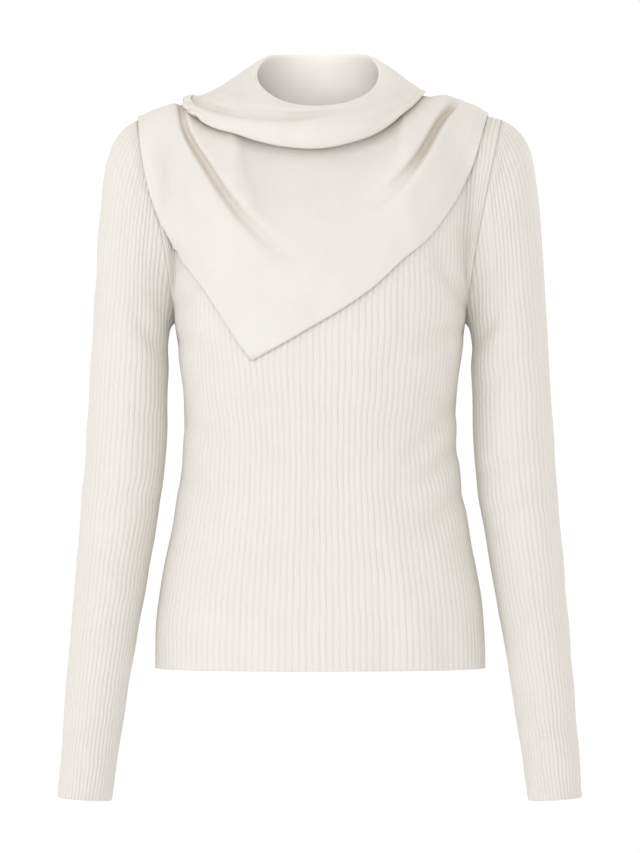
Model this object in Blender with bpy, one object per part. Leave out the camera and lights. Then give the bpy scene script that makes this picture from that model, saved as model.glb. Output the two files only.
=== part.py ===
"""A fine rib-knit sweater with a draped scarf collar, hollow and filled out as when it is worn.

Lengths are in millimetres and become metres when a mesh is made. +X is the viewer's right,
the front faces -Y, +Z is up, and the origin is at the middle of the neck's base.
"""

import math

import bpy
import numpy as np
from mathutils import Vector
from mathutils.bvhtree import BVHTree

MM = 0.001

# Cloth
WALL = 2.6
RIB_HEIGHT = 1.1
SCARF_WALL = 2.0
SEAM_GAP = 0.3
ARMHOLE_GAP = 0.5
RESTING_GAP = 0.5
LIFT_ROUNDS = 4

# Where the scarf's underside is tested: steps to the next point by row and column, and the share of the way
LIFT_PROBES = (
    (0, 0, 0.0), (0, 1, 0.25), (0, 1, 0.5), (0, 1, 0.75), (1, 0, 0.33), (1, 0, 0.67),
    (1, 1, 0.25), (1, 1, 0.5), (1, 1, 0.75), (1, -1, 0.5),
)

# How many ribs each piece has, and how finely its plain inside is divided
PANEL_RIBS = 66
PANEL_INNER_COLUMNS = 22
PANEL_LOWER_ROWS = 5
PANEL_UPPER_ROWS = 6
SLEEVE_RIBS = 46
SLEEVE_INNER_COLUMNS = 20
OUTLINE_STEPS = 400

# Landmarks of the cut
NECK_POINT = (70.0, 16.0)
SHOULDER_TIP = (172.0, -9.0)
NECKLINE_SHARE = 0.38
NECKLINE_ROUNDNESS = 0.4
SHOULDER_BEND = 1.15
ARMHOLE_REACH = 200.0
ARMHOLE_RISE = 110.0

# The shares of a panel's half width over which its columns turn towards the armhole and the shoulder
ARMHOLE_ZONE = (0.78, 1.0)
SHOULDER_ZONE = (0.18, 0.44)

# The torso over its ribs: height, half breadth, depth to the front, depth to the back, squareness
TORSO_SECTIONS = (
    (-530.0, 156.5, 104.0, 117.0, 2.30),
    (-486.0, 155.5, 102.0, 115.0, 2.30),
    (-441.0, 149.5, 99.0, 109.0, 2.30),
    (-395.0, 140.0, 96.0, 101.0, 2.25),
    (-350.0, 132.5, 96.0, 93.0, 2.20),
    (-304.0, 128.7, 102.0, 89.0, 2.20),
    (-258.0, 130.5, 114.0, 94.0, 2.30),
    (-203.0, 138.0, 117.0, 103.0, 2.30),
)

# The upper edge of each panel: side (-1 front, 1 back), how far the neckline reaches, its drop,
# and the way the knit leans at the middle of the neckline
UPPER_EDGES = {
    "front": {"side": -1.0, "neck_reach": 62.0, "neck_drop": 50.0, "lean": (0.42, 0.91)},
    "back": {"side": 1.0, "neck_reach": 58.0, "neck_drop": 12.0, "lean": (0.50, 0.87)},
}

# The sleeve over its ribs: outer x and z, inner x and z, half depth, middle y, share of the armhole's form
SLEEVE_SECTIONS = (
    (172.0, -9.0, 138.0, -203.0, 46.0, 0.0, 1.00),
    (186.5, -18.0, 139.6, -204.4, 47.0, 0.0, 0.72),
    (200.0, -40.0, 141.6, -207.0, 48.0, 0.0, 0.42),
    (207.5, -82.0, 143.2, -213.0, 47.0, 0.0, 0.16),
    (212.0, -145.0, 144.0, -228.0, 45.0, -1.0, 0.03),
    (217.5, -240.0, 144.4, -262.0, 43.5, -2.0, 0.00),
    (223.5, -335.0, 147.5, -340.0, 41.5, -4.0, 0.00),
    (231.0, -430.0, 161.0, -430.0, 38.0, -11.0, 0.00),
    (239.5, -535.0, 179.5, -536.0, 33.0, -21.0, 0.00),
    (248.0, -651.0, 197.0, -654.5, 29.0, -32.0, 0.00),
)

# Where the sleeve's ribs meet the armhole: share of the way round below the top, share of the armhole
CAP_RIBS = ((0.0, 0.0), (0.15, 0.07), (0.25, 0.125), (0.32, 0.19), (0.39, 0.30), (0.45, 0.41), (0.5, 0.5))
CAP_END = 4.5
CAP_BEND = 2.5

# The collar's rings from its inner seam over the rim and down to the edge that is turned under:
# reach to the right, left, front and back, then height at the front, right, back and left
COLLAR_RINGS = (
    (63.0, 63.0, 59.5, 55.0, -22.0, 22.0, 22.0, 22.0),
    (58.0, 60.0, 60.0, 54.0, -8.0, 30.0, 44.0, 30.0),
    (56.5, 61.0, 64.5, 56.0, 1.0, 35.0, 68.0, 34.0),
    (70.0, 79.0, 70.0, 59.5, -2.0, 31.0, 60.0, 24.0),
    (82.0, 98.0, 73.0, 62.0, -7.0, 25.0, 47.0, 12.0),
    (92.0, 110.0, 83.0, 67.0, -12.0, 20.0, 28.0, 9.0),
    (97.0, 118.0, 90.0, 74.0, -23.0, 16.5, 10.0, 6.0),
    (100.0, 125.0, 88.5, 80.0, -36.0, 13.0, -7.0, 3.5),
    (98.0, 124.0, 84.5, 79.5, -39.5, 10.5, -12.0, 1.0),
    (94.0, 118.0, 81.5, 76.5, -33.0, 12.0, -9.5, 4.0),
)
RIM_LEVEL = 53.0
RIM_SOFTNESS = 1.6

# The roll's fuller end over the left shoulder: turn in degrees, half width, how far out and how far down,
# and how much of it each ring from the sixth on has
ROLL_END = (-63.0, 20.0, 5.0, 8.0)
ROLL_END_SHARES = (0.25, 0.7, 1.0, 1.0, 0.7)
COLLAR_COLUMNS = 48

# How far each of the collar's last six rings stays above the drape: the wall lies under the first four
COLLAR_EDGE_ROOM = (3.1, 3.1, 3.1, 2.3, 1.2, 1.2)
COLLAR_PROBES = (0.0, 0.5, 0.25, 0.75, 0.5)

# How much each of the collar's last rings moves where its edge is lifted off the drape
COLLAR_LIFT_SHARES = (0.4, 1.0, 1.0, 1.0, 1.0, 1.0, 1.0)

# Where the scarf's drape starts, hidden in the collar's fold, in the collar rings' columns
DRAPE_START = (85.0, 86.0, 73.0, 66.0, -24.0, 16.2, 1.0, 16.2)

# The share of the drape's width that lies flat under the collar at the front, right, back and left
DRAPE_COVERED = (0.08, 0.26, 0.15, 0.50)
DRAPE_LOFT_RISE = 0.16
DRAPE_LOFT_END = 0.82

# The drape's free edge seen from the front: turn about the neck in degrees, x, z.
# The two shoulder points lie on top of the shoulder, so they have no z.
DRAPE_EDGE_FRONT = (
    (75.0, 154.0, -24.0),
    (60.0, 142.5, -60.0),
    (48.0, 127.0, -90.0),
    (36.0, 101.0, -126.0),
    (27.0, 80.0, -143.0),
    (14.0, 47.0, -173.0),
    (-8.0, -19.0, -214.0),
    (-24.0, -64.6, -239.4),
    (-30.0, -78.0, -222.0),
    (-37.0, -93.0, -198.0),
    (-46.0, -114.0, -166.0),
    (-54.0, -133.0, -142.0),
    (-61.0, -145.0, -119.0),
    (-68.0, -155.5, -98.0),
    (-74.0, -163.0, -74.0),
    (-82.0, -170.0, -38.0),
)
DRAPE_EDGE_SHOULDERS = ((90.0, 160.0), (-90.0, -173.0))
DRAPE_EDGE_BACK = (
    (110.0, 149.0, -45.0),
    (135.0, 105.0, -88.0),
    (160.0, 50.0, -114.0),
    (180.0, 0.0, -122.0),
    (200.0, -50.0, -114.0),
    (225.0, -112.0, -88.0),
    (250.0, -160.0, -45.0),
)
PROBE_REACH = 400.0
SHOULDER_PROBE_Y = 0.5
DRAPE_TIP_TURN = -24.0
DRAPE_FRONT_COLUMNS = 34
DRAPE_BACK_COLUMNS = 18
SHOULDER_CROWDING = 0.09
DRAPE_ROWS = 12
DRAPE_FREE_ROWS = 0.16
DRAPE_LOFT = 5.0
DRAPE_BACK_LOFT = 2.0

# The drape's large folds seen from the front: x, z, height (less than zero for a trough), half width
DRAPE_FOLDS = {
    "left_trough": (
        (-129.0, 4.0, -8.0, 9.0),
        (-123.0, -24.0, -8.0, 10.0),
        (-104.0, -56.0, -8.0, 11.0),
        (-80.0, -94.0, -7.0, 12.0),
        (-57.0, -119.0, -6.0, 12.0),
        (-36.0, -138.0, -4.0, 13.0),
        (-13.0, -149.0, 0.0, 13.0),
    ),
    "right_trough": (
        (131.0, 6.0, -9.0, 9.0),
        (110.0, -18.0, -9.0, 9.0),
        (95.0, -45.0, -8.0, 10.0),
        (78.0, -67.0, -6.0, 11.0),
        (63.0, -85.0, -3.0, 12.0),
        (42.0, -96.0, 0.0, 13.0),
    ),
    "neck_ridge": (
        (118.0, 9.0, 6.0, 12.0),
        (88.0, -14.0, 6.0, 14.0),
        (60.0, -52.0, 4.0, 18.0),
        (30.0, -80.0, 0.0, 20.0),
    ),
    "shoulder_ridge": (
        (147.0, 0.0, 5.0, 12.0),
        (124.0, -34.0, 5.0, 14.0),
        (98.0, -72.0, 4.0, 18.0),
        (70.0, -104.0, 0.0, 20.0),
    ),
}

IVORY = (0.86, 0.82, 0.74, 1.0)


def clear_scene():
    for thing in list(bpy.data.objects):
        bpy.data.objects.remove(thing, do_unlink=True)


def knit_material(name, roughness):
    material = bpy.data.materials.new(name)
    material.use_nodes = True
    shader = material.node_tree.nodes["Principled BSDF"]
    shader.inputs["Base Color"].default_value = IVORY
    shader.inputs["Roughness"].default_value = roughness
    shader.inputs["Metallic"].default_value = 0.0
    return material


def smooth_step(low, high, value):
    share = np.clip((value - low) / (high - low), 0.0, 1.0)
    return share * share * (3.0 - 2.0 * share)


def unit(vectors):
    return vectors / np.maximum(np.linalg.norm(vectors, axis=-1, keepdims=True), 1e-9)


def smooth_table(table, rows):
    """The table's columns at evenly spaced values of its first column, on a Catmull-Rom curve."""
    data = np.array(table)
    wanted = np.linspace(data[0, 0], data[-1, 0], rows + 1)
    slopes = np.gradient(data, data[:, 0], axis=0)
    found = []
    for value in wanted:
        last = min(np.searchsorted(data[:, 0], value, side="right"), len(data) - 1)
        span = data[last, 0] - data[last - 1, 0]
        found.append(hermite(
            data[last - 1], slopes[last - 1] * span, data[last], slopes[last] * span,
            (value - data[last - 1, 0]) / span,
        ))
    return np.array(found)


def hermite(start, start_pull, end, end_pull, share):
    square = share * share
    cube = square * share
    return (
        (2.0 * cube - 3.0 * square + 1.0) * start
        + (cube - 2.0 * square + share) * start_pull
        + (3.0 * square - 2.0 * cube) * end
        + (cube - square) * end_pull
    )


def evenly(points, shares):
    """Points at the given shares of the length of a polyline."""
    steps = np.linalg.norm(np.diff(points, axis=0), axis=1)
    along = np.concatenate([[0.0], np.cumsum(steps)]) / steps.sum()
    return np.stack([np.interp(shares, along, points[:, axis]) for axis in range(3)], axis=1)


def grid_normals(grid, closed):
    """Outward normals of a grid whose columns run to the left hand of its rows, seen from outside."""
    if closed:
        across = np.roll(grid, -1, axis=1) - np.roll(grid, 1, axis=1)
    else:
        across = np.gradient(grid, axis=1)
    along = np.gradient(grid, axis=0)
    return unit(np.cross(across, along))


def section_half(half_breadth, depth, squareness, side, shares):
    """Half of a torso section, from the left side seam to the right one over the front or the back."""
    turn = np.linspace(-math.pi / 2, math.pi / 2, OUTLINE_STEPS + 1)
    power = 2.0 / squareness
    x = half_breadth * np.sign(np.sin(turn)) * np.abs(np.sin(turn)) ** power
    y = side * depth * np.abs(np.cos(turn)) ** power
    outline = np.stack([x, y, np.zeros_like(x)], axis=1)
    return evenly(outline, shares)


def upper_edge(edge, across):
    """Where a column ends: on the shoulder seam, or on the neckline between the two neck points."""
    neck_x, neck_z = NECK_POINT
    tip_x, tip_z = SHOULDER_TIP
    share = np.clip(np.abs(across) / NECKLINE_SHARE, 0.0, 1.0)
    turn = 0.5 * math.pi * (share + NECKLINE_ROUNDNESS * (share**3 - share))
    out = np.clip((np.abs(across) - NECKLINE_SHARE) / (1.0 - NECKLINE_SHARE), 0.0, 1.0)
    x = np.sign(across) * (neck_x * np.sin(turn) + (tip_x - neck_x) * out)
    y = edge["side"] * edge["neck_reach"] * np.cos(turn)
    z = neck_z - edge["neck_drop"] * np.cos(turn) + (tip_z - neck_z) * out**SHOULDER_BEND
    return np.stack([x, y, z], axis=1)


def panel_grid(name, columns):
    """The front's or the back's surface over its ribs: rows from the hem up, columns from left to right."""
    edge = UPPER_EDGES[name]
    side = edge["side"]
    across = np.linspace(-1.0, 1.0, columns + 1)
    depth_column = 2 if name == "front" else 3
    rows = []
    for section in smooth_table(TORSO_SECTIONS, PANEL_LOWER_ROWS):
        row = section_half(section[1], section[depth_column], section[4], side, (across + 1.0) / 2.0)
        row[:, 2] = section[0]
        rows.append(row)
    bottom = rows[-1]
    top = upper_edge(edge, across)
    reach = np.linalg.norm(top - bottom, axis=1)[:, None]
    at_armhole = smooth_step(*ARMHOLE_ZONE, np.abs(across))[:, None]
    at_shoulder = smooth_step(*SHOULDER_ZONE, np.abs(across))[:, None]
    upward = reach * np.array([0.0, 0.0, 1.0])
    into_armhole = np.array([0.0, side * ARMHOLE_REACH, ARMHOLE_RISE])
    leave = upward * (1.0 - at_armhole) + into_armhole * at_armhole
    lean_y, lean_z = edge["lean"]
    to_neck = reach * np.array([0.0, -side * lean_y, lean_z])
    over_shoulder = reach * np.array([0.0, -side, 0.0])
    armhole_top = np.array([0.0, -side * ARMHOLE_REACH, 0.0])
    arrive = to_neck * (1.0 - at_shoulder) + over_shoulder * at_shoulder
    arrive = arrive * (1.0 - at_armhole) + armhole_top * at_armhole
    for step in range(1, PANEL_UPPER_ROWS + 1):
        rows.append(hermite(bottom, leave, top, arrive, step / PANEL_UPPER_ROWS))
    grid = np.array(rows)
    on_seam = np.abs(grid[:, :, 1]) < SEAM_GAP / 2.0
    grid[:, :, 1] = np.where(on_seam, side * SEAM_GAP / 2.0, grid[:, :, 1])
    return grid


def panel_normals(name, grid):
    normals = grid_normals(grid, closed=False)
    if name == "back":
        normals = -normals
    below_armpit = slice(0, PANEL_LOWER_ROWS + 1)
    normals[below_armpit, 0] = (-1.0, 0.0, 0.0)
    normals[below_armpit, -1] = (1.0, 0.0, 0.0)
    on_shoulder = np.abs(np.linspace(-1.0, 1.0, grid.shape[1])) >= NECKLINE_SHARE
    top = normals[-1]
    top[on_shoulder, 1] = 0.0
    normals[-1] = unit(top)
    return normals


def ribbed(grid, normals):
    """Every second column lowered to the bottom of the groove between two ribs."""
    outer = grid.copy()
    outer[:, ::2] -= RIB_HEIGHT * normals[:, ::2]
    return outer


class Shell:
    """Collects the points and triangles of one closed wall."""

    def __init__(self):
        self.points = []
        self.faces = []

    def add_grid(self, grid):
        first = sum(len(block) for block in self.points)
        self.points.append(grid.reshape(-1, 3))
        return np.arange(grid.shape[0] * grid.shape[1]).reshape(grid.shape[:2]) + first

    def cover(self, ids, flipped):
        for low, high in zip(ids[:-1], ids[1:]):
            for column in range(len(low) - 1):
                a, b = low[column], low[column + 1]
                c, d = high[column + 1], high[column]
                self.add_face(a, b, c, flipped)
                self.add_face(a, c, d, flipped)

    def add_face(self, a, b, c, flipped):
        self.faces.append((a, c, b) if flipped else (a, b, c))

    def bridge(self, outer, inner, flipped):
        """Joins two edges that run side by side but may be divided differently."""
        i = j = 0
        while i < len(outer) - 1 or j < len(inner) - 1:
            next_outer = (i + 1) / (len(outer) - 1)
            next_inner = (j + 1) / (len(inner) - 1)
            if next_outer <= next_inner:
                self.add_face(outer[i], inner[j], outer[i + 1], flipped)
                i += 1
            else:
                self.add_face(outer[i], inner[j], inner[j + 1], flipped)
                j += 1

    def make_object(self, name, material):
        points = np.concatenate(self.points) * MM
        mesh = bpy.data.meshes.new(name)
        mesh.from_pydata(points.tolist(), [], [tuple(int(i) for i in face) for face in self.faces])
        mesh.materials.append(material)
        mesh.shade_smooth()
        mesh.set_sharp_from_angle(angle=math.radians(60.0))
        thing = bpy.data.objects.new(name, mesh)
        bpy.context.scene.collection.objects.link(thing)
        return thing


def closed_ids(ids):
    return np.concatenate([ids, ids[:, :1]], axis=1)


def open_wall(name, outer, inner, flipped, material):
    """A wall between two open grids: its four edges are closed between them."""
    shell = Shell()
    out_ids = shell.add_grid(outer)
    in_ids = shell.add_grid(inner)
    shell.cover(out_ids, flipped)
    shell.cover(in_ids, not flipped)
    shell.bridge(out_ids[0], in_ids[0], flipped)
    shell.bridge(out_ids[-1], in_ids[-1], not flipped)
    shell.bridge(out_ids[:, 0], in_ids[:, 0], not flipped)
    shell.bridge(out_ids[:, -1], in_ids[:, -1], flipped)
    return shell.make_object(name, material)


def tube_wall(name, outer, inner, flipped, material):
    """A wall between two grids that close on themselves: its two rims are closed between them."""
    shell = Shell()
    out_ids = closed_ids(shell.add_grid(outer))
    in_ids = closed_ids(shell.add_grid(inner))
    shell.cover(out_ids, flipped)
    shell.cover(in_ids, not flipped)
    shell.bridge(out_ids[0], in_ids[0], flipped)
    shell.bridge(out_ids[-1], in_ids[-1], not flipped)
    return shell.make_object(name, material)


def make_panel(name, material):
    columns = 2 * PANEL_RIBS
    grid = panel_grid(name, columns)
    normals = panel_normals(name, grid)
    step = columns // PANEL_INNER_COLUMNS
    inner = (grid - WALL * normals)[:, ::step]
    open_wall(name, ribbed(grid, normals), inner, name == "back", material)
    return grid, normals


def armhole_loop(front, back, side):
    """The panels' edge round one armhole with its normals, from the shoulder down the front and up the back."""
    column = -1 if side > 0 else 0
    parts = []
    for grid, normals in (front, back):
        rows = grid[PANEL_LOWER_ROWS:, column]
        facing = normals[PANEL_LOWER_ROWS:, column]
        away = unit(np.cross(np.gradient(rows, axis=0), facing))
        away *= np.sign(away[0, 2])
        parts.append((rows, facing, away))
    joined = [np.concatenate([a[::-1], b], axis=0) for a, b in zip(parts[0], parts[1])]
    return joined


def resample_loop(points, others, shares):
    """The loop's points and its other values at the given shares of its length."""
    steps = np.linalg.norm(np.diff(np.concatenate([points, points[:1]]), axis=0), axis=1)
    along = np.concatenate([[0.0], np.cumsum(steps)]) / steps.sum()
    found = []
    for values in (points, *others):
        ring = np.concatenate([values, values[:1]])
        found.append(np.stack([np.interp(shares, along, ring[:, axis]) for axis in range(3)], axis=1))
    return found


def sleeve_ellipse(section, side, shares):
    outer_x, outer_z, inner_x, inner_z, half_depth, middle_y, _ = section
    turn = np.arange(OUTLINE_STEPS) / OUTLINE_STEPS * 2.0 * math.pi
    x = (outer_x + inner_x) / 2.0 + (outer_x - inner_x) / 2.0 * np.cos(turn)
    z = (outer_z + inner_z) / 2.0 + (outer_z - inner_z) / 2.0 * np.cos(turn)
    y = middle_y - half_depth * np.sin(turn)
    ring = np.stack([side * x, y, z], axis=1)
    return resample_loop(ring, (), shares)[0]


def cap_shares(shares, place):
    """Where the sleeve's columns cross a ring, drawn towards the armhole's top in the cap."""
    around, on_armhole = np.array(CAP_RIBS).T
    near = np.minimum(shares, 1.0 - shares)
    moved = np.interp(near, around, on_armhole)
    moved = np.where(shares > 0.5, 1.0 - moved, moved)
    return shares + (moved - shares) * max(0.0, 1.0 - place / CAP_END) ** CAP_BEND


def make_sleeve(name, side, front, back, material):
    columns = 2 * SLEEVE_RIBS
    shares = np.arange(columns) / columns
    loop, loop_facing, loop_away = armhole_loop(front, back, side)
    edge, edge_facing, away = resample_loop(loop, (loop_facing, loop_away), cap_shares(shares, 0.0))
    rings = [edge + ARMHOLE_GAP * unit(away)]
    for place, section in enumerate(SLEEVE_SECTIONS[1:], start=1):
        crossing = cap_shares(shares, place)
        on_edge = resample_loop(loop, (), crossing)[0]
        first = sleeve_ellipse(SLEEVE_SECTIONS[0], side, crossing)
        rings.append(sleeve_ellipse(section, side, crossing) + section[6] * (on_edge - first))
    grid = np.array(rings)
    normals = grid_normals(grid, closed=True) * side
    normals[0] = unit(edge_facing)
    inner = (grid - WALL * normals)[:, :: columns // SLEEVE_INNER_COLUMNS]
    tube_wall(name, ribbed(grid, normals), inner, side < 0, material)
    return grid


def make_skin(*sheets):
    """A search tree of sheets for cloth to lie on. Each is a grid, whether it closes, and whether it is flipped."""
    points = []
    faces = []
    for grid, closed, flipped in sheets:
        first = len(points)
        rows, columns = grid.shape[:2]
        points.extend(Vector(point) for point in grid.reshape(-1, 3).tolist())
        for row in range(rows - 1):
            for column in range(columns if closed else columns - 1):
                a = first + row * columns + column
                b = first + row * columns + (column + 1) % columns
                corners = (a, b, b + columns, a + columns)
                faces.append(corners[::-1] if flipped else corners)
    return BVHTree.FromPolygons(points, faces)


def height_above(skin, place):
    """How far a place is outside the knit: less than zero inside it."""
    near, facing, _, _ = skin.find_nearest(Vector(place))
    return (Vector(place) - near).dot(facing)


def around_neck(turn, front, right, back, left):
    """A value that runs smoothly round the neck through its four sides."""
    return (
        (front + right + back + left) / 4.0
        + (front - back) / 2.0 * np.cos(turn)
        + (right - left) / 2.0 * np.sin(turn)
        + (front + back - right - left) / 4.0 * np.cos(2.0 * turn)
    )


def ring_point(ring, turn):
    right, left, front, back, *heights = ring
    sine, cosine = np.sin(turn), np.cos(turn)
    x = np.where(sine > 0.0, right, left) * sine
    y = -np.where(cosine > 0.0, front, back) * cosine
    below_rim = (RIM_LEVEL - around_neck(turn, *heights)) / RIM_SOFTNESS
    return np.stack([x, y, RIM_LEVEL - RIM_SOFTNESS * np.log1p(np.exp(below_rim))], axis=-1)


def neckline_loop(panels, turns):
    """The panels' neckline, with its normals and the way off the cloth, at the given turns."""
    found = []
    for grid, normals in panels:
        across = np.linspace(-1.0, 1.0, grid.shape[1])
        on_neck = np.abs(across) <= NECKLINE_SHARE + 1e-6
        edge = grid[-1, on_neck]
        facing = normals[-1, on_neck]
        upward = edge - grid[-2, on_neck]
        away = unit(upward - (upward * facing).sum(axis=1, keepdims=True) * facing)
        found.append((edge, facing, away))
    (front, back) = found
    loop = [np.concatenate([a, b[::-1]], axis=0) for a, b in zip(front, back)]
    angle = np.unwrap(np.arctan2(loop[0][:, 0], -loop[0][:, 1]))
    wanted = np.where(turns < angle[0], turns + 2.0 * math.pi, turns)
    order = np.concatenate([angle, [angle[0] + 2.0 * math.pi]])
    rings = []
    for values in loop:
        ring = np.concatenate([values, values[:1]])
        rings.append(np.stack([np.interp(wanted, order, ring[:, axis]) for axis in range(3)], axis=1))
    return rings


def rest_collar(grid, drape):
    """Lifts the turned-under edge, column by column, clear of the drape beneath it."""
    columns = grid.shape[1]
    shares = np.array(COLLAR_LIFT_SHARES)[:, None, None]
    for share in COLLAR_PROBES:
        edge = grid[-len(COLLAR_EDGE_ROOM):]
        probes = edge * (1.0 - share) + np.roll(edge, -1, axis=1) * share
        lift = np.zeros((columns, 3))
        for column in range(columns):
            needs = [room - height_above(drape, point) for room, point in zip(COLLAR_EDGE_ROOM, probes[:, column])]
            need = max(needs)
            facing = drape.find_nearest(Vector(probes[int(np.argmax(needs)), column]))[1]
            for end in (column, (column + 1) % columns if share else column):
                if need > np.linalg.norm(lift[end]):
                    lift[end] = need * np.array(facing)
        grid[-len(COLLAR_LIFT_SHARES):] += shares * lift


def make_collar(panels, drape, material):
    turns = np.arange(COLLAR_COLUMNS) / COLLAR_COLUMNS * 2.0 * math.pi
    turns = np.where(turns > math.pi, turns - 2.0 * math.pi, turns)
    edge, facing, away = neckline_loop(panels, turns)
    rings = [edge + ARMHOLE_GAP * unit(away)]
    rings += [ring_point(ring, turns) for ring in COLLAR_RINGS]
    middle, half_width, out, down = ROLL_END
    strength = np.exp(-(((np.degrees(turns) - middle) / half_width) ** 2))
    way = np.stack([out * np.sin(turns), -out * np.cos(turns), np.full_like(turns, -down)], axis=1)
    for ring, share in zip(rings[-len(ROLL_END_SHARES):], ROLL_END_SHARES):
        ring += (share * strength)[:, None] * way
    grid = np.array(rings)
    rest_collar(grid, drape)
    normals = -grid_normals(grid, closed=True)
    normals[0] = -unit(facing)
    hidden = grid - SCARF_WALL * normals
    tube_wall("scarf_collar", grid, hidden, True, material)


def drape_edge(skin):
    """The drape's free edge as turns and points on the knit."""
    found = []
    for turn, x, z in DRAPE_EDGE_FRONT:
        hit = skin.ray_cast(Vector((x, -PROBE_REACH, z)), Vector((0.0, 1.0, 0.0)))[0]
        found.append((turn, *hit))
    for turn, x in DRAPE_EDGE_SHOULDERS:
        hit = skin.ray_cast(Vector((x, SHOULDER_PROBE_Y, PROBE_REACH)), Vector((0.0, 0.0, -1.0)))[0]
        found.append((turn, *hit))
    for turn, x, z in DRAPE_EDGE_BACK:
        hit = skin.ray_cast(Vector((x, PROBE_REACH, z)), Vector((0.0, -1.0, 0.0)))[0]
        found.append((turn, *hit))
    return np.array(sorted(found))


def drape_turns():
    """Columns that are close together over the front, with one on the tip."""
    right = int(DRAPE_FRONT_COLUMNS * (90.0 - DRAPE_TIP_TURN) / 180.0)
    left = DRAPE_FRONT_COLUMNS - right
    front_left = np.linspace(-90.0, DRAPE_TIP_TURN, left + 1)[:-1]
    front_right = np.linspace(DRAPE_TIP_TURN, 90.0, right + 1)[:-1]
    share = np.arange(DRAPE_BACK_COLUMNS) / DRAPE_BACK_COLUMNS
    back = 90.0 + 180.0 * (share - SHOULDER_CROWDING * np.sin(2.0 * math.pi * share))
    return np.concatenate([front_left, front_right, back])


def fold_height(x, z):
    """How far the folds lift or lower the drape at a place seen from the front."""
    height = 0.0
    for rows in DRAPE_FOLDS.values():
        nearest, strength = None, 0.0
        for start, end in zip(rows[:-1], rows[1:]):
            run_x, run_z = end[0] - start[0], end[1] - start[1]
            share = ((x - start[0]) * run_x + (z - start[1]) * run_z) / (run_x**2 + run_z**2)
            share = min(max(share, 0.0), 1.0)
            away = math.hypot(x - start[0] - share * run_x, z - start[1] - share * run_z)
            if nearest is None or away < nearest:
                nearest = away
                width = start[3] + share * (end[3] - start[3])
                strength = (start[2] + share * (end[2] - start[2])) * math.exp(-((away / width) ** 2))
        height += strength
    return height


def lift_clear(points, underside, skin):
    """Moves points out where the cloth's underside, at a point or halfway to the next, is too near the knit."""
    outward = unit(points - underside)
    for _ in range(LIFT_ROUNDS):
        lift = np.zeros(points.shape[:2])
        for row_step, column_step, share in LIFT_PROBES:
            last = len(points) - row_step
            across = np.roll(underside, -column_step, axis=1)[row_step:]
            probes = underside[:last] * (1.0 - share) + across * share
            for row, column in np.ndindex(probes.shape[:2]):
                need = RESTING_GAP - height_above(skin, probes[row, column])
                other = (row + row_step, (column + column_step) % points.shape[1])
                lift[row, column] = max(lift[row, column], need)
                lift[other] = max(lift[other], need)
        points = points + lift[..., None] * outward
        underside = underside + lift[..., None] * outward
    return points, underside


def make_drape(skin, material):
    degrees = drape_turns()
    turns = np.radians(degrees)
    edge = drape_edge(skin)
    around = np.concatenate([edge, edge[:1] + np.array([[360.0, 0.0, 0.0, 0.0]])])
    outer = np.stack([np.interp(degrees, around[:, 0], around[:, axis]) for axis in (1, 2, 3)], axis=1)
    start = ring_point(DRAPE_START, turns)
    covered = around_neck(turns, *DRAPE_COVERED)
    rows = []
    for step in range(DRAPE_ROWS + 1):
        share = step / DRAPE_ROWS
        straight = start * (1.0 - share) + outer * share
        settled = smooth_step(0.0, DRAPE_FREE_ROWS, share)
        loft = smooth_step(covered, covered + DRAPE_LOFT_RISE, share) * (1.0 - smooth_step(DRAPE_LOFT_END, 1.0, share))
        row = []
        for point, rise in zip(straight, loft):
            near, facing, _, _ = skin.find_nearest(Vector(point))
            fold = DRAPE_LOFT + fold_height(near.x, near.z) if near.y < 0.0 else DRAPE_BACK_LOFT
            lying = np.array(near + facing * (SCARF_WALL + RESTING_GAP + rise * max(fold, 0.0)))
            row.append(point * (1.0 - settled) + lying * settled)
        rows.append(row)
    grid = np.array(rows)
    normals = -grid_normals(grid, closed=True)
    grid, underside = lift_clear(grid, grid - SCARF_WALL * normals, skin)
    tube_wall("scarf_drape", grid, underside, True, material)
    return grid


def main():
    clear_scene()
    rib_knit = knit_material("rib_knit", 0.85)
    scarf_knit = knit_material("scarf_knit", 0.9)
    front = make_panel("front", rib_knit)
    back = make_panel("back", rib_knit)
    sleeves = [
        make_sleeve("sleeve_left", -1.0, front, back, rib_knit),
        make_sleeve("sleeve_right", 1.0, front, back, rib_knit),
    ]
    left, right = sleeves
    skin = make_skin((front[0], False, False), (back[0], False, True), (left, True, True), (right, True, False))
    drape = make_drape(skin, scarf_knit)
    make_collar((front, back), make_skin((drape, True, True)), scarf_knit)


main()
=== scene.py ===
"""The looks of a fine rib-knit sweater with a draped scarf collar, hollow and filled out as when it is worn.

The tables are in millimetres and become metres when a mesh is made. +X is the viewer's right, the front
faces -Y, +Z is up, and the origin is at the middle of the neck's base.
"""
import math

import bpy
import numpy as np
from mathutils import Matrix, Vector
from mathutils.bvhtree import BVHTree

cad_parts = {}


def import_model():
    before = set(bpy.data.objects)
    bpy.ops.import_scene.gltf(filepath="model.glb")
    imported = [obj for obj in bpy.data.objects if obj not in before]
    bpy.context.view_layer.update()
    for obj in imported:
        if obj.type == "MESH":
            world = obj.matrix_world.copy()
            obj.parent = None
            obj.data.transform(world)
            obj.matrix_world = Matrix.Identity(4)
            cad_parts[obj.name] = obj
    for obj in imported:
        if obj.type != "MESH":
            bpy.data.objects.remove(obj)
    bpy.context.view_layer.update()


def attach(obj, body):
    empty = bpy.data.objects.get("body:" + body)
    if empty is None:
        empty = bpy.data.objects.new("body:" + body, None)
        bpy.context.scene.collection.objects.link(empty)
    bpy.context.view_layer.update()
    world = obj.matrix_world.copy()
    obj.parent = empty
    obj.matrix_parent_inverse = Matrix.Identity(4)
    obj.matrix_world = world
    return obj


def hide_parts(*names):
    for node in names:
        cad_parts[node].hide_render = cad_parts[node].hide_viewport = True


MM = 0.001

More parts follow.
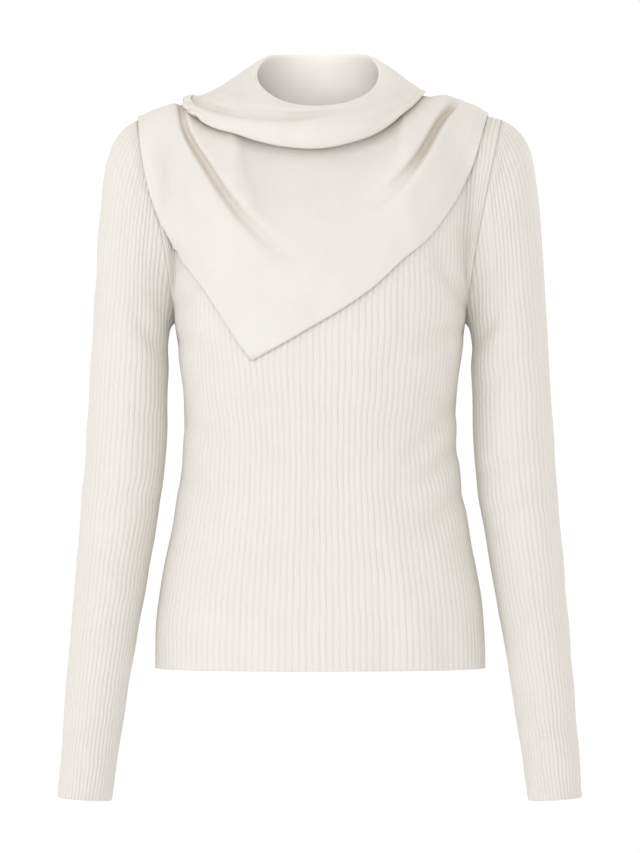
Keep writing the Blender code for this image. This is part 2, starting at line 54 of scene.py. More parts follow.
# The cloth: its walls and ribs, and the gaps, dips and fading ribs at seams
WALL = 2.6
RIB_HEIGHT = 0.9
SCARF_WALL = 2.0
SEAM_GAP = 0.3
ARMHOLE_GAP = 0.08
RESTING_GAP = 0.6
SEAM_DIP = 0.12
SEAM_DIP_WIDTH = 2.0
SEAM_RIB = 0.3
SEAM_FADE = 9.0
RIB_ROUNDNESS = 3.2

# How far each side of a wall is drawn in at a round edge, as a share of the wall
EDGE_DRAW = 0.47
SCARF_EDGE_DRAW = 0.42

# How many ribs each piece has and how finely its mesh is divided
PANEL_RIBS = 66
SLEEVE_RIBS = 46
COLUMNS_PER_RIB = 8
INNER_STEP = 8
ROW_PITCH = 5.0
OUTLINE_STEPS = 800
SKIN_STEP = 2

# How far the rows at a round edge are from its end, and where the even rows start
ROUND_EDGE = (0.0, 0.35, 0.9, 1.6)
EVEN_ROWS_START = 5.0

# Landmarks of the cut
NECK_POINT = (70.0, 16.0)
SHOULDER_TIP = (172.0, -9.0)
NECKLINE_SHARE = 0.38
NECKLINE_ROUNDNESS = 0.4
SHOULDER_BEND = 1.15
ARMHOLE_REACH = 200.0
ARMHOLE_RISE = 110.0
ARMHOLE_ZONE = (0.78, 1.0)
SHOULDER_ZONE = (0.18, 0.44)

# The rows above the armpit, and how the panel's middle is evened out beside it
PANEL_UPPER_ROWS = 46
PANEL_MIDDLE_END = (0.93, 1.0)
ARMPIT_SOFTENING = {"rows_below": 12, "rows_above": 10, "rounds": 40}

# The torso over its ribs: height, half breadth, depth to the front, depth to the back, squareness
TORSO_SECTIONS = (
    (-530.0, 156.5, 104.0, 117.0, 2.30),
    (-486.0, 155.5, 102.0, 115.0, 2.30),
    (-441.0, 149.5, 99.0, 109.0, 2.30),
    (-395.0, 140.0, 96.0, 101.0, 2.25),
    (-350.0, 132.5, 96.0, 93.0, 2.20),
    (-304.0, 128.7, 102.0, 89.0, 2.20),
    (-258.0, 130.5, 114.0, 94.0, 2.30),
    (-203.0, 138.0, 117.0, 103.0, 2.30),
)

# The upper edge of each panel: side (-1 front, 1 back), how far the neckline reaches, its drop,
# and the way the knit leans at the middle of the neckline
UPPER_EDGES = {
    "front": {"side": -1.0, "neck_reach": 62.0, "neck_drop": 50.0, "lean": (0.42, 0.91)},
    "back": {"side": 1.0, "neck_reach": 58.0, "neck_drop": 12.0, "lean": (0.50, 0.87)},
}

# The sleeve over its ribs: outer x and z, inner x and z, half depth, middle y, share of the armhole's form
SLEEVE_SECTIONS = (
    (172.0, -9.0, 138.0, -203.0, 46.0, 0.0, 1.00),
    (186.5, -18.0, 139.6, -204.4, 47.0, 0.0, 0.72),
    (200.0, -40.0, 141.6, -207.0, 48.0, 0.0, 0.42),
    (207.5, -82.0, 143.2, -213.0, 47.0, 0.0, 0.16),
    (212.0, -145.0, 144.0, -228.0, 45.0, -1.0, 0.03),
    (217.5, -240.0, 144.4, -262.0, 43.5, -2.0, 0.00),
    (223.5, -335.0, 147.5, -340.0, 41.5, -4.0, 0.00),
    (231.0, -430.0, 161.0, -430.0, 38.0, -11.0, 0.00),
    (239.5, -535.0, 179.5, -536.0, 33.0, -21.0, 0.00),
    (248.0, -651.0, 197.0, -654.5, 29.0, -32.0, 0.00),
)

# Where the sleeve's ribs meet the armhole: share of the way round below the top, share of the armhole
CAP_RIBS = ((0.0, 0.0), (0.15, 0.07), (0.25, 0.125), (0.32, 0.19), (0.39, 0.30), (0.45, 0.41), (0.5, 0.5))
CAP_END = 4.5
CAP_BEND = 2.5

# Where the front creases give way to the back ones, and how many sections down all of them start
SLEEVE_FACING = (-0.25, 0.25)
SLEEVE_CREASE_START = (0.0, 1.2)

# The collar's rings from its inner seam over the rim and down to the edge that is turned under:
# reach to the right, left, front and back, then height at the front, right, back and left
COLLAR_RINGS = (
    (63.0, 63.0, 59.5, 55.0, -22.0, 22.0, 22.0, 22.0),
    (58.0, 60.0, 60.0, 54.0, -8.0, 30.0, 44.0, 30.0),
    (56.5, 61.0, 64.5, 56.0, 1.0, 35.0, 68.0, 34.0),
    (70.0, 79.0, 70.0, 59.5, -2.0, 31.0, 60.0, 26.0),
    (82.0, 98.0, 73.0, 62.0, -7.0, 25.0, 47.0, 16.0),
    (92.0, 110.0, 83.0, 67.0, -12.0, 21.0, 28.0, 13.0),
    (97.0, 118.0, 90.0, 74.0, -23.0, 17.5, 10.0, 9.5),
    (100.0, 124.0, 88.5, 80.0, -36.0, 15.5, -7.0, 6.5),
    (98.0, 123.0, 84.5, 79.5, -39.5, 14.0, -12.0, 5.0),
    (94.0, 117.0, 81.5, 76.5, -33.0, 14.5, -9.5, 6.5),
)
RIM_LEVEL = 54.5
RIM_SOFTNESS = 1.6

# The roll's fuller end over the left shoulder: turn in degrees, half width, how far out and how far down,
# and how much of it each ring from the sixth on has
ROLL_END = (-65.0, 20.0, 5.0, 10.0)
ROLL_END_SHARES = (0.25, 0.7, 1.0, 1.0, 0.7)

# How finely the collar is divided round the neck and between its rings
COLLAR_COLUMNS = 288
COLLAR_STEPS = 8

# How the collar is lifted clear of the drape: the room it needs, which rings may move, and how the
# lift is spread round the neck
COLLAR_FREE_RINGS = 4
COLLAR_ROOM = 2.5
COLLAR_EDGE_ROOM = 1.0
COLLAR_LIFT_ROUNDS = 4
COLLAR_LIFT_REACH = 5
COLLAR_CLEAR_ROUNDS = 3
COLLAR_CLEAR_LIMIT = 7.0
COLLAR_LIFT_SMOOTHING = 8
STRAIGHT_OVER = 0.85
COLLAR_LIFT_RAMP = 1.5
COLLAR_UNDERSIDE = (2.0, 1.0)
COLLAR_CLEAR_FROM = (3.2, 4.2)
COLLAR_CLEAR_TO = (6.0, 7.0)

# Where the collar's creases show: from which ring, and how far forward
COLLAR_OUTSIDE = (3.0, 4.5)
COLLAR_FACING = (-15.0, 15.0)
COLLAR_CREASE_START = (0.0, 2.0)

# Where the scarf's drape starts, hidden in the collar's fold, in the collar rings' columns
DRAPE_START = (85.0, 86.0, 73.0, 66.0, -24.0, 16.2, 1.0, 16.2)

# The share of the drape's width that lies flat under the collar at the front, right, back and left
DRAPE_COVERED = (0.08, 0.26, 0.15, 0.50)

# How the drape lofts off the panels: over which shares of its width, and how high in front and behind
DRAPE_FREE_ROWS = 0.16
DRAPE_LOFT_RISE = 0.30
DRAPE_LOFT_END = 0.82
DRAPE_LOFT = 3.0
DRAPE_BACK_LOFT = 2.0

# Where the front creases give way to the back ones, and over which shares of the width they fade
DRAPE_FACING = (-20.0, 20.0)
DRAPE_CREASE_FROM = (0.0, 0.2)
DRAPE_CREASE_TO = (0.93, 1.0)
DRAPE_LEAST_ROOM = 0.3

# The drape's free edge seen from the front: turn about the neck in degrees, x, z.
# The two shoulder points lie on top of the shoulder, so they have no z.
DRAPE_EDGE_FRONT = (
    (75.0, 154.0, -24.0),
    (60.0, 142.5, -60.0),
    (48.0, 127.0, -90.0),
    (36.0, 101.0, -126.0),
    (27.0, 80.0, -143.0),
    (14.0, 47.0, -173.0),
    (-8.0, -19.0, -214.0),
    (-24.0, -64.6, -239.4),
    (-30.0, -78.0, -222.0),
    (-37.0, -93.0, -198.0),
    (-46.0, -114.0, -166.0),
    (-54.0, -133.0, -142.0),
    (-61.0, -145.0, -119.0),
    (-68.0, -155.5, -98.0),
    (-74.0, -163.0, -74.0),
    (-82.0, -170.0, -38.0),
)
DRAPE_EDGE_SHOULDERS = ((90.0, 160.0), (-90.0, -173.0))
DRAPE_EDGE_BACK = (
    (110.0, 149.0, -45.0),
    (135.0, 105.0, -88.0),
    (160.0, 50.0, -114.0),
    (180.0, 0.0, -122.0),
    (200.0, -50.0, -114.0),
    (225.0, -112.0, -88.0),
    (250.0, -160.0, -45.0),
)

# How the edge is found on the knit, and how finely the drape is divided
PROBE_REACH = 400.0
SHOULDER_PROBE_Y = 0.5
DRAPE_TIP_TURN = -24.0
DRAPE_FRONT_COLUMNS = 230
DRAPE_BACK_COLUMNS = 110
SHOULDER_CROWDING = 0.09
DRAPE_ROWS = 100

# How the drape is drawn taut, first on every fifth row and column, and lifted clear of the knit
DRAPE_STRIDE = 5
DRAPE_TAUT_ROUNDS = 7
DRAPE_FINE_ROUNDS = 3
DRAPE_SMOOTHING = 6
DRAPE_CLEAR_ROUNDS = 3
LIFT_REACH = 2
LIFT_SOFTENING = 4

# How the free edge is evened out and kept off the knit, and the waves that it lifts in
DRAPE_EDGE_LIFT = 1.3
DRAPE_EDGE_SMOOTHING = 60
DRAPE_EDGE_ROUNDS = 4
DRAPE_EDGE_SPREAD = 4
DRAPE_EDGE_ZONE = (0.86, 1.0)
DRAPE_EDGE_WAVES = ((3.0, 0.4), (7.0, 1.9), (11.0, 4.1))

# Creases seen from the front or the back. A row is x, z, depth of the trough, its half width, and the
# height of the ridges on the left and the right of its run.
DRAPE_CREASES = {
    "left_fold": (
        (-133, 12, 0.5, 3, 0, 0), (-130.5, 0, 3, 3, 2.5, 1.5), (-124.5, -23.8, 5, 3.2, 7.5, 4),
        (-105.5, -56, 5, 3.6, 7.5, 4), (-80.8, -94, 4, 4.6, 6, 3), (-58, -119, 3, 6, 3.6, 1.6),
        (-36, -138, 1.5, 8, 1.4, 0.5), (-8, -151, 0, 11, 0, 0),
    ),
    "right_fold": (
        (131, 9, -1.5, 6, 0, 0), (124, -1, 2.5, 3.6, 4, 4), (113, -14, 5, 3.6, 6, 5),
        (95, -44.7, 5, 4.2, 6, 5), (77.9, -67.5, 4, 5.4, 4, 3.5), (60, -84.5, 2, 7.5, 1.6, 1.6),
        (36, -98, 0, 10, 0, 0),
    ),
    "shoulder_pad": (
        (113, 16, -3.5, 8, 0, 0), (122, 14, -4, 9, 0, 0), (134, 11, -4, 10, 0, 0), (150, 2, -2, 10, 0, 0),
    ),
    "left_pad": (
        (-134, 12, 0, 5, 0, 0), (-139, 8, -4.5, 6, 0, 0), (-147, 2, -1.5, 8, 0, 0),
        (-156, -8, 0, 9, 0, 0),
    ),
    "left_wing": (
        (-154, -10, 0, 9, 0, 0), (-149, -42, 1.2, 9, 0.6, 0.4), (-134, -86, 1.4, 10, 0.8, 0.4),
        (-110, -128, 0.8, 11, 0.4, 0.2), (-88, -160, 0, 12, 0, 0),
    ),
    "middle_sag": (
        (-58, -62, 0, 18, 0, 0), (-20, -84, 1.2, 18, 0.4, 0.4), (26, -82, 1, 18, 0.4, 0.4),
        (56, -62, 0, 16, 0, 0),
    ),
    "lower_sag": (
        (-66, -152, 0, 14, 0, 0), (-40, -176, 1.2, 15, 0.4, 0.3), (-4, -184, 0.9, 16, 0.3, 0.2),
        (26, -172, 0, 16, 0, 0),
    ),
}
DRAPE_BACK_CREASES = {
    "left_fan": (
        (-96, -2, 0, 10, 0, 0), (-88, -30, 2.4, 9, 1.2, 1), (-72, -66, 1.8, 11, 0.8, 0.8),
        (-58, -92, 0, 13, 0, 0),
    ),
    "middle_fan": (
        (-18, -30, 0, 12, 0, 0), (-10, -62, 1.5, 13, 0.7, 0.5), (-2, -100, 0.6, 15, 0.3, 0.2),
        (0, -118, 0, 16, 0, 0),
    ),
    "right_fan": (
        (104, -6, 0, 9, 0, 0), (86, -36, 2.6, 10, 1, 1.2), (62, -70, 1.8, 12, 0.8, 0.8),
        (44, -98, 0, 14, 0, 0),
    ),
    "cross_sag": (
        (-66, -50, 0, 14, 0, 0), (-24, -72, 1.6, 14, 0.5, 0.5), (30, -74, 1.5, 14, 0.5, 0.5),
        (70, -54, 0, 14, 0, 0),
    ),
}
COLLAR_CREASES = {
    "rim_fold": (
        (-128, 9.5, 1.5, 4, 0.4, 0.6), (-97, -0.5, 3.2, 4, 0.8, 1.2), (-76, -5.4, 3.8, 4, 1, 1.6),
        (-47, -9.3, 4, 4, 1, 1.6), (-19, -9.2, 3.2, 4.5, 0.8, 1.2), (-2, -7.4, 1.6, 5, 0.4, 0.6),
        (18, -3, 0, 6, 0, 0),
    ),
    "left_gather": (
        (-134, -2, 1.5, 3.5, 0.5, 0.5), (-114, -7, 2.2, 4, 0.8, 0.8), (-92, -15, 1.4, 5.5, 0.5, 0.5),
        (-66, -22, 0, 8, 0, 0),
    ),
    "right_slope": (
        (96, 22, 0, 6, 0, 0), (80, 10, 2.4, 7, 0.8, 0.6), (64, -5, 2, 8, 0.6, 0.5),
        (42, -17, 0, 10, 0, 0),
    ),
}
FRONT_CREASES = {
    "waist_right_high": (
        (134, -268, 0, 9, 0, 0), (121, -287, 2.4, 8, 1.2, 0.8), (99, -314, 2.4, 9, 1, 0.8),
        (72, -338, 0, 11, 0, 0),
    ),
    "waist_right_middle": (
        (135, -312, 0.5, 7, 0.2, 0.2), (119, -331, 2.6, 8, 1.2, 0.8), (95, -354, 1.6, 9, 0.8, 0.5),
        (64, -374, 0, 12, 0, 0),
    ),
    "waist_right_low": (
        (138, -358, 0, 7, 0, 0), (123, -374, 1.9, 8, 0.9, 0.5), (100, -392, 1, 9, 0.5, 0.3),
        (76, -404, 0, 12, 0, 0),
    ),
    "armpit_right_high": (
        (141, -186, 1.5, 7, 0.5, 0.5), (128, -172, 3, 7, 1.2, 1), (116, -146, 2, 8, 0.9, 0.7),
        (108, -112, 0, 10, 0, 0),
    ),
    "armpit_right_low": (
        (142, -208, 0.8, 7, 0.3, 0.3), (124, -212, 2.4, 8, 1.1, 0.8), (100, -224, 1.2, 10, 0.5, 0.4),
        (74, -240, 0, 13, 0, 0),
    ),
    "armpit_left_high": (
        (-141, -190, 1, 7, 0.4, 0.4), (-127, -178, 2.2, 8, 0.8, 0.9), (-114, -158, 0, 10, 0, 0),
    ),
    "armpit_left_low": (
        (-140, -216, 0.5, 8, 0.2, 0.2), (-122, -224, 1.8, 9, 0.6, 0.7), (-98, -240, 0, 12, 0, 0),
    ),
    "waist_left_high": (
        (-132, -284, 0, 9, 0, 0), (-118, -302, 1.5, 9, 0.5, 0.7), (-92, -322, 1, 11, 0.3, 0.5),
        (-66, -334, 0, 13, 0, 0),
    ),
    "waist_left_low": (
        (-136, -340, 0, 8, 0, 0), (-119, -356, 1.4, 9, 0.4, 0.6), (-90, -370, 0, 12, 0, 0),
    ),
    "hem_left": (
        (-74, -534, 2, 20, 0.5, 0.5), (-66, -480, 1, 20, 0.3, 0.3), (-58, -420, 0, 22, 0, 0),
    ),
    "hem_right": (
        (66, -534, 2.4, 18, 0.7, 0.7), (58, -476, 1.4, 19, 0.4, 0.4), (54, -410, 0, 22, 0, 0),
    ),
    "hem_side": (
        (122, -534, 1.8, 13, 0.6, 0.4), (116, -492, 0.9, 14, 0.3, 0.2), (108, -446, 0, 16, 0, 0),
    ),
}
BACK_CREASES = {
    "waist_high": (
        (-112, -292, 0, 10, 0, 0), (-66, -316, 2.6, 11, 1.2, 1), (-6, -324, 3.2, 12, 1.4, 1.2),
        (58, -312, 2.2, 11, 1, 0.8), (104, -290, 0, 10, 0, 0),
    ),
    "waist_middle": (
        (-92, -344, 0, 11, 0, 0), (-38, -359, 2.2, 11, 1, 0.9), (28, -360, 2.6, 12, 1.1, 1),
        (92, -340, 0, 10, 0, 0),
    ),
    "waist_low": (
        (-122, -380, 0, 9, 0, 0), (-84, -394, 1.6, 10, 0.7, 0.6), (-34, -400, 0, 13, 0, 0),
    ),
    "blade_left": (
        (-141, -186, 1.5, 7, 0.5, 0.5), (-122, -166, 2.8, 8, 1.2, 1), (-106, -134, 1.6, 10, 0.8, 0.6),
        (-98, -96, 0, 12, 0, 0),
    ),
    "blade_right": (
        (141, -192, 1.2, 7, 0.5, 0.5), (124, -176, 2.5, 8, 1, 1.2), (104, -150, 1.8, 10, 0.7, 0.8),
        (90, -116, 0, 12, 0, 0),
    ),
    "side_left": (
        (-131, -246, 0, 8, 0, 0), (-112, -262, 2, 9, 0.8, 0.8), (-82, -276, 0, 12, 0, 0),
    ),
    "side_right": (
        (132, -228, 0, 8, 0, 0), (110, -246, 1.8, 9, 0.8, 0.8), (78, -266, 0, 12, 0, 0),
    ),
    "hem_middle": (
        (20, -534, 2, 22, 0.6, 0.6), (14, -482, 1, 22, 0.3, 0.3), (8, -424, 0, 24, 0, 0),
    ),
    "hem_left": (
        (-104, -534, 2, 17, 0.6, 0.6), (-98, -488, 1, 18, 0.3, 0.3), (-90, -438, 0, 20, 0, 0),
    ),
}

# Creases of the sleeves, front and back. Those of the left one are given as if it were on the right.
SLEEVE_FRONT_CREASES = {
    "sleeve_right": {
        "armpit": (
            (146, -226, 0.8, 7, 0.3, 0.3), (158, -208, 2.4, 7, 1, 0.9), (174, -180, 1.6, 9, 0.7, 0.6),
            (184, -142, 0, 11, 0, 0),
        ),
        "upper": (
            (147, -272, 0, 8, 0, 0), (164, -258, 1.8, 8, 0.8, 0.7), (188, -240, 1, 10, 0.4, 0.4),
            (206, -226, 0, 11, 0, 0),
        ),
        "elbow_high": (
            (150, -352, 0.6, 8, 0.3, 0.3), (170, -342, 2.4, 8, 1, 0.9), (196, -336, 1.6, 9, 0.7, 0.6),
            (216, -334, 0, 10, 0, 0),
        ),
        "elbow_low": (
            (156, -390, 0, 8, 0, 0), (176, -382, 2, 8, 0.8, 0.8), (204, -376, 1.2, 10, 0.5, 0.5),
            (222, -376, 0, 10, 0, 0),
        ),
        "forearm": (
            (174, -498, 0, 8, 0, 0), (194, -484, 1.5, 8, 0.6, 0.5), (220, -474, 0.8, 10, 0.3, 0.3),
            (234, -470, 0, 10, 0, 0),
        ),
        "wrist": (
            (192, -604, 0, 7, 0, 0), (210, -592, 1.6, 7, 0.6, 0.6), (232, -586, 0.8, 8, 0.4, 0.3),
            (244, -584, 0, 9, 0, 0),
        ),
    },
    "sleeve_left": {
        "armpit": (
            (146, -236, 0.6, 7, 0.3, 0.3), (160, -216, 2, 8, 0.8, 0.8), (178, -190, 1.2, 10, 0.5, 0.5),
            (190, -158, 0, 11, 0, 0),
        ),
        "upper": (
            (148, -300, 0, 8, 0, 0), (168, -288, 1.6, 9, 0.6, 0.6), (196, -274, 0, 11, 0, 0),
        ),
        "elbow": (
            (152, -372, 0.5, 8, 0.2, 0.2), (174, -364, 2, 9, 0.8, 0.8), (202, -360, 1.2, 10, 0.5, 0.5),
            (220, -360, 0, 11, 0, 0),
        ),
        "forearm": (
            (166, -448, 0, 9, 0, 0), (188, -438, 1.4, 9, 0.5, 0.5), (216, -432, 0, 11, 0, 0),
        ),
        "wrist": (
            (188, -572, 0, 7, 0, 0), (208, -562, 1.4, 8, 0.5, 0.5), (236, -556, 0, 9, 0, 0),
        ),
    },
}
SLEEVE_BACK_CREASES = {
    "sleeve_right": {
        "armpit": (
            (146, -232, 0.8, 7, 0.3, 0.3), (160, -206, 2.6, 8, 1, 1), (176, -170, 1.4, 10, 0.6, 0.6),
            (188, -132, 0, 11, 0, 0),
        ),
        "elbow_high": (
            (152, -330, 0, 8, 0, 0), (178, -340, 2.6, 9, 1.1, 1), (208, -344, 1.4, 10, 0.6, 0.6),
            (222, -344, 0, 10, 0, 0),
        ),
        "elbow_low": (
            (158, -384, 0, 8, 0, 0), (184, -378, 2.2, 9, 0.9, 0.9), (212, -380, 1, 10, 0.5, 0.5),
            (226, -382, 0, 10, 0, 0),
        ),
        "wrist": (
            (190, -590, 0, 7, 0, 0), (214, -582, 1.5, 8, 0.6, 0.6), (240, -580, 0, 9, 0, 0),
        ),
    },
    "sleeve_left": {
        "armpit": (
            (146, -224, 0.8, 7, 0.3, 0.3), (158, -200, 2.2, 8, 0.9, 0.9), (172, -168, 0, 10, 0, 0),
        ),
        "elbow_high": (
            (154, -348, 0, 8, 0, 0), (182, -356, 2.4, 9, 1, 0.9), (212, -358, 1.2, 10, 0.5, 0.5),
            (224, -358, 0, 10, 0, 0),
        ),
        "elbow_low": (
            (160, -404, 0, 8, 0, 0), (188, -398, 1.8, 10, 0.8, 0.7), (218, -400, 0, 11, 0, 0),
        ),
        "wrist": (
            (192, -612, 0, 7, 0, 0), (216, -604, 1.3, 8, 0.5, 0.5), (242, -600, 0, 9, 0, 0),
        ),
    },
}

# How finely a crease's run is drawn, how far its ridges reach in half widths and how strong they are,
# and where a panel's creases fade towards its sides
CREASE_FINENESS = 6
RIDGE_REACH = 5.0
RIDGE_GAIN = 1.15
PANEL_EDGE_FADE = (0.955, 1.0)

# The cloth's slow unevenness: wave length in x, in z, and its height
UNEVENNESS = ((83.0, 61.0, 0.35), (47.0, 118.0, 0.25), (29.0, 71.0, 0.14))
UNEVENNESS_TURN = 1.7
SLEEVE_UNEVENNESS_SHIFT = 31.0

# How ribs sway along their length: wave length, start and strength, and the turn from rib to rib
RIB_SWAY = ((57.0, 0.7, 0.34), (23.0, 2.3, 0.16))
RIB_SWAY_TURN = 0.35
RIB_SWAY_COLUMNS = 6.0

# How ribs differ in height: its share, and the turns of its two waves from rib to rib and along a rib
RIB_VARIETY = 0.12
RIB_VARIETY_FAST = (2.4, 0.011)
RIB_VARIETY_SLOW = (0.9, 1.3)


def smooth_step(low, high, value):
    share = np.clip((value - low) / (high - low), 0.0, 1.0)
    return share * share * (3.0 - 2.0 * share)


def unit(vectors):
    return vectors / np.maximum(np.linalg.norm(vectors, axis=-1, keepdims=True), 1e-9)


def hermite(start, start_pull, end, end_pull, share):
    square = share * share
    cube = square * share
    return (
        (2.0 * cube - 3.0 * square + 1.0) * start
        + (cube - 2.0 * square + share) * start_pull
        + (3.0 * square - 2.0 * cube) * end
        + (cube - square) * end_pull
    )


def smooth_table(table, wanted):
    """The table's columns at the wanted values of its first column, on a Catmull-Rom curve."""
    data = np.array(table, dtype=float)
    wanted = np.asarray(wanted, dtype=float)
    slopes = np.gradient(data, data[:, 0], axis=0)
    last = np.clip(np.searchsorted(data[:, 0], wanted, side="right"), 1, len(data) - 1)
    span = (data[last, 0] - data[last - 1, 0])[:, None]
    share = (wanted[:, None] - data[last - 1, :1]) / span
    return hermite(data[last - 1], slopes[last - 1] * span, data[last], slopes[last] * span, share)


def numbered(table):
    """The table with each row's place in it as a new first column."""
    data = np.array(table, dtype=float)
    return np.concatenate([np.arange(len(data))[:, None], data], axis=1)


def evenly(points, shares):
    """Points at the given shares of the length of a polyline."""
    steps = np.linalg.norm(np.diff(points, axis=0), axis=1)
    along = np.concatenate([[0.0], np.cumsum(steps)]) / steps.sum()
    return np.stack([np.interp(shares, along, points[:, axis]) for axis in range(3)], axis=1)


def grid_normals(grid, closed):
    """Outward normals of a grid whose columns run to the left hand of its rows, seen from outside."""
    if closed:
        across = np.roll(grid, -1, axis=1) - np.roll(grid, 1, axis=1)
    else:
        across = np.gradient(grid, axis=1)
    along = np.gradient(grid, axis=0)
    return unit(np.cross(across, along))


def crease_height(x, z, creases):
    """How far the creases lift or lower the cloth at places seen from the front."""
    total = np.zeros_like(x)
    for rows in creases.values():
        places = np.linspace(0.0, len(rows) - 1.0, (len(rows) - 1) * CREASE_FINENESS + 1)
        path = smooth_table(numbered(rows), places)[:, 1:]
        nearest = np.full(x.shape, np.inf)
        height = np.zeros_like(x)
        for start, end in zip(path[:-1], path[1:]):
            run_x, run_z = end[0] - start[0], end[1] - start[1]
            length = math.hypot(run_x, run_z)
            share = np.clip(((x - start[0]) * run_x + (z - start[1]) * run_z) / length**2, 0.0, 1.0)
            away_x = x - start[0] - share * run_x
            away_z = z - start[1] - share * run_z
            away = np.hypot(away_x, away_z)
            to_left = np.sign(run_x * away_z - run_z * away_x)
            trough, width, left, right = (start[i] + share * (end[i] - start[i]) for i in (2, 3, 4, 5))
            ridge = np.where(to_left > 0.0, left, right)
            reach = away / width
            dent = np.exp(-(reach**2))
            found = RIDGE_GAIN * ridge * (1.0 - dent) * np.exp(-((reach / RIDGE_REACH) ** 2)) - trough * dent
            closer = away < nearest
            height = np.where(closer, found, height)
            nearest = np.where(closer, away, nearest)
        total += height
    return total


def unevenness(x, z):
    total = np.zeros_like(x)
    for number, (wave_x, wave_z, height) in enumerate(UNEVENNESS):
        across = np.sin(2.0 * math.pi * x / wave_x + UNEVENNESS_TURN * number)
        total += height * across * np.cos(2.0 * math.pi * z / wave_z + number)
    return total


def rib_profile(phase):
    """The height of a rounded rib with narrow grooves beside it, from 0 to 1."""
    return 1.0 - np.abs(2.0 * (phase % 1.0) - 1.0) ** RIB_ROUNDNESS


def ribbed(grid, normals, fade):
    """The grid's columns lowered between ribs, with ribs that sway and differ a little."""
    rows, columns = grid.shape[:2]
    row = np.arange(rows)[:, None] * ROW_PITCH
    column = np.arange(columns)[None, :]
    phase = column / COLUMNS_PER_RIB
    rib = np.floor(phase)
    sway = sum(
        strength * np.sin(2.0 * math.pi * row / length + start + RIB_SWAY_TURN * rib)
        for length, start, strength in RIB_SWAY
    )
    tangent = unit(np.gradient(grid, axis=1))
    fast, climb = RIB_VARIETY_FAST
    slow, first = RIB_VARIETY_SLOW
    variety = 1.0 + RIB_VARIETY * np.sin(fast * rib + climb * row) * np.sin(slow * rib + first)
    depth = RIB_HEIGHT * variety * (1.0 - rib_profile(phase)) * fade
    edge = smooth_step(0.0, RIB_SWAY_COLUMNS, np.minimum(column, columns - 1.0 - column))
    return grid + tangent * (sway * edge)[..., None] - normals * depth[..., None]


def soften_rows(grid, first, last, rounds, weight):
    """Evens out the run of the columns between two rows, most where the weight is one."""
    for _ in range(rounds):
        middle = (grid[first - 1:last - 1] + grid[first + 1:last + 1]) / 2.0
        grid[first:last] += 0.5 * weight * (middle - grid[first:last])


class Shell:
    """Collects the points, faces and knit coordinates of one closed wall."""

    def __init__(self):
        self.points = []
        self.faces = {3: [], 4: []}
        self.coordinates = {3: [], 4: []}
        self.smooth_sides = []

    def add_grid(self, grid):
        first = sum(len(block) for block in self.points)
        self.points.append(grid.reshape(-1, 3))
        return np.arange(grid.shape[0] * grid.shape[1]).reshape(grid.shape[:2]) + first

    def cover(self, ids, knit, flipped):
        corners = [(slice(None, -1), slice(None, -1)), (slice(None, -1), slice(1, None)),
                   (slice(1, None), slice(1, None)), (slice(1, None), slice(None, -1))]
        if flipped:
            corners.reverse()
        self.faces[4].append(np.stack([ids[corner].reshape(-1) for corner in corners], axis=1))
        self.coordinates[4].append(np.stack([knit[corner].reshape(-1, 2) for corner in corners], axis=1))

    def bridge(self, outer, inner, outer_knit, flipped, smooth):
        """Joins two edges that run side by side but may be divided differently."""
        i = j = 0
        faces = []
        places = []
        while i < len(outer) - 1 or j < len(inner) - 1:
            next_outer = (i + 1) / (len(outer) - 1)
            next_inner = (j + 1) / (len(inner) - 1)
            if next_outer <= next_inner:
                face = (outer[i], inner[j], outer[i + 1])
                place = (outer_knit[i], outer_knit[i], outer_knit[i + 1])
                i += 1
            else:
                face = (outer[i], inner[j], inner[j + 1])
                place = (outer_knit[i], outer_knit[i], outer_knit[i])
                j += 1
            faces.append(face[::-1] if flipped else face)
            places.append(place[::-1] if flipped else place)
        self.faces[3].append(np.array(faces))
        self.coordinates[3].append(np.array(places))
        self.smooth_sides += [smooth] * len(faces)

    def make_object(self, name, material):
        points = np.concatenate(self.points) * MM
        faces = []
        coordinates = []
        for corners in (3, 4):
            if self.faces[corners]:
                faces += np.concatenate(self.faces[corners]).tolist()
                coordinates.append(np.concatenate(self.coordinates[corners]).reshape(-1, 2))
        mesh = bpy.data.meshes.new(name)
        mesh.from_pydata(points.tolist(), [], faces)
        layer = mesh.uv_layers.new(name="knit")
        layer.data.foreach_set("uv", np.concatenate(coordinates).astype(np.float32).reshape(-1))
        mesh.materials.append(material)
        smooth = self.smooth_sides + [True] * (len(faces) - len(self.smooth_sides))
        mesh.polygons.foreach_set("use_smooth", smooth)
        thing = bpy.data.objects.new(name, mesh)
        bpy.context.scene.collection.objects.link(thing)
        return thing


def closed_ids(ids):
    """A grid, of ids or of values, with its first column again at the end."""
    return np.concatenate([ids, ids[:, :1]], axis=1)


def knit_grid(grid, step_across, closed):
    """Coordinates for the stitches: steps across, and the length along the middle column in millimetres."""
    rows, columns = grid.shape[:2]
    middle = grid[:, columns // 2]
    along = np.concatenate([[0.0], np.cumsum(np.linalg.norm(np.diff(middle, axis=0), axis=1))])
    across = np.arange(columns + 1 if closed else columns) * step_across
    return np.stack(np.broadcast_arrays(across[None, :], along[:, None]), axis=2)


def edge_depths():
    """How far the rows at a round edge are drawn in, as shares of the wall, from the edge inwards."""
    from_edge = [1.0 - place / ROUND_EDGE[-1] for place in ROUND_EDGE]
    return [EDGE_DRAW * (1.0 - math.sqrt(max(0.0, 1.0 - share**2))) for share in from_edge]


def hem_places(length):
    """Distances from a round edge to the end of a wall, close together at the edge."""
    count = int(round((length - EVEN_ROWS_START) / ROW_PITCH))
    return np.concatenate([ROUND_EDGE, np.linspace(EVEN_ROWS_START, length, count + 1)])


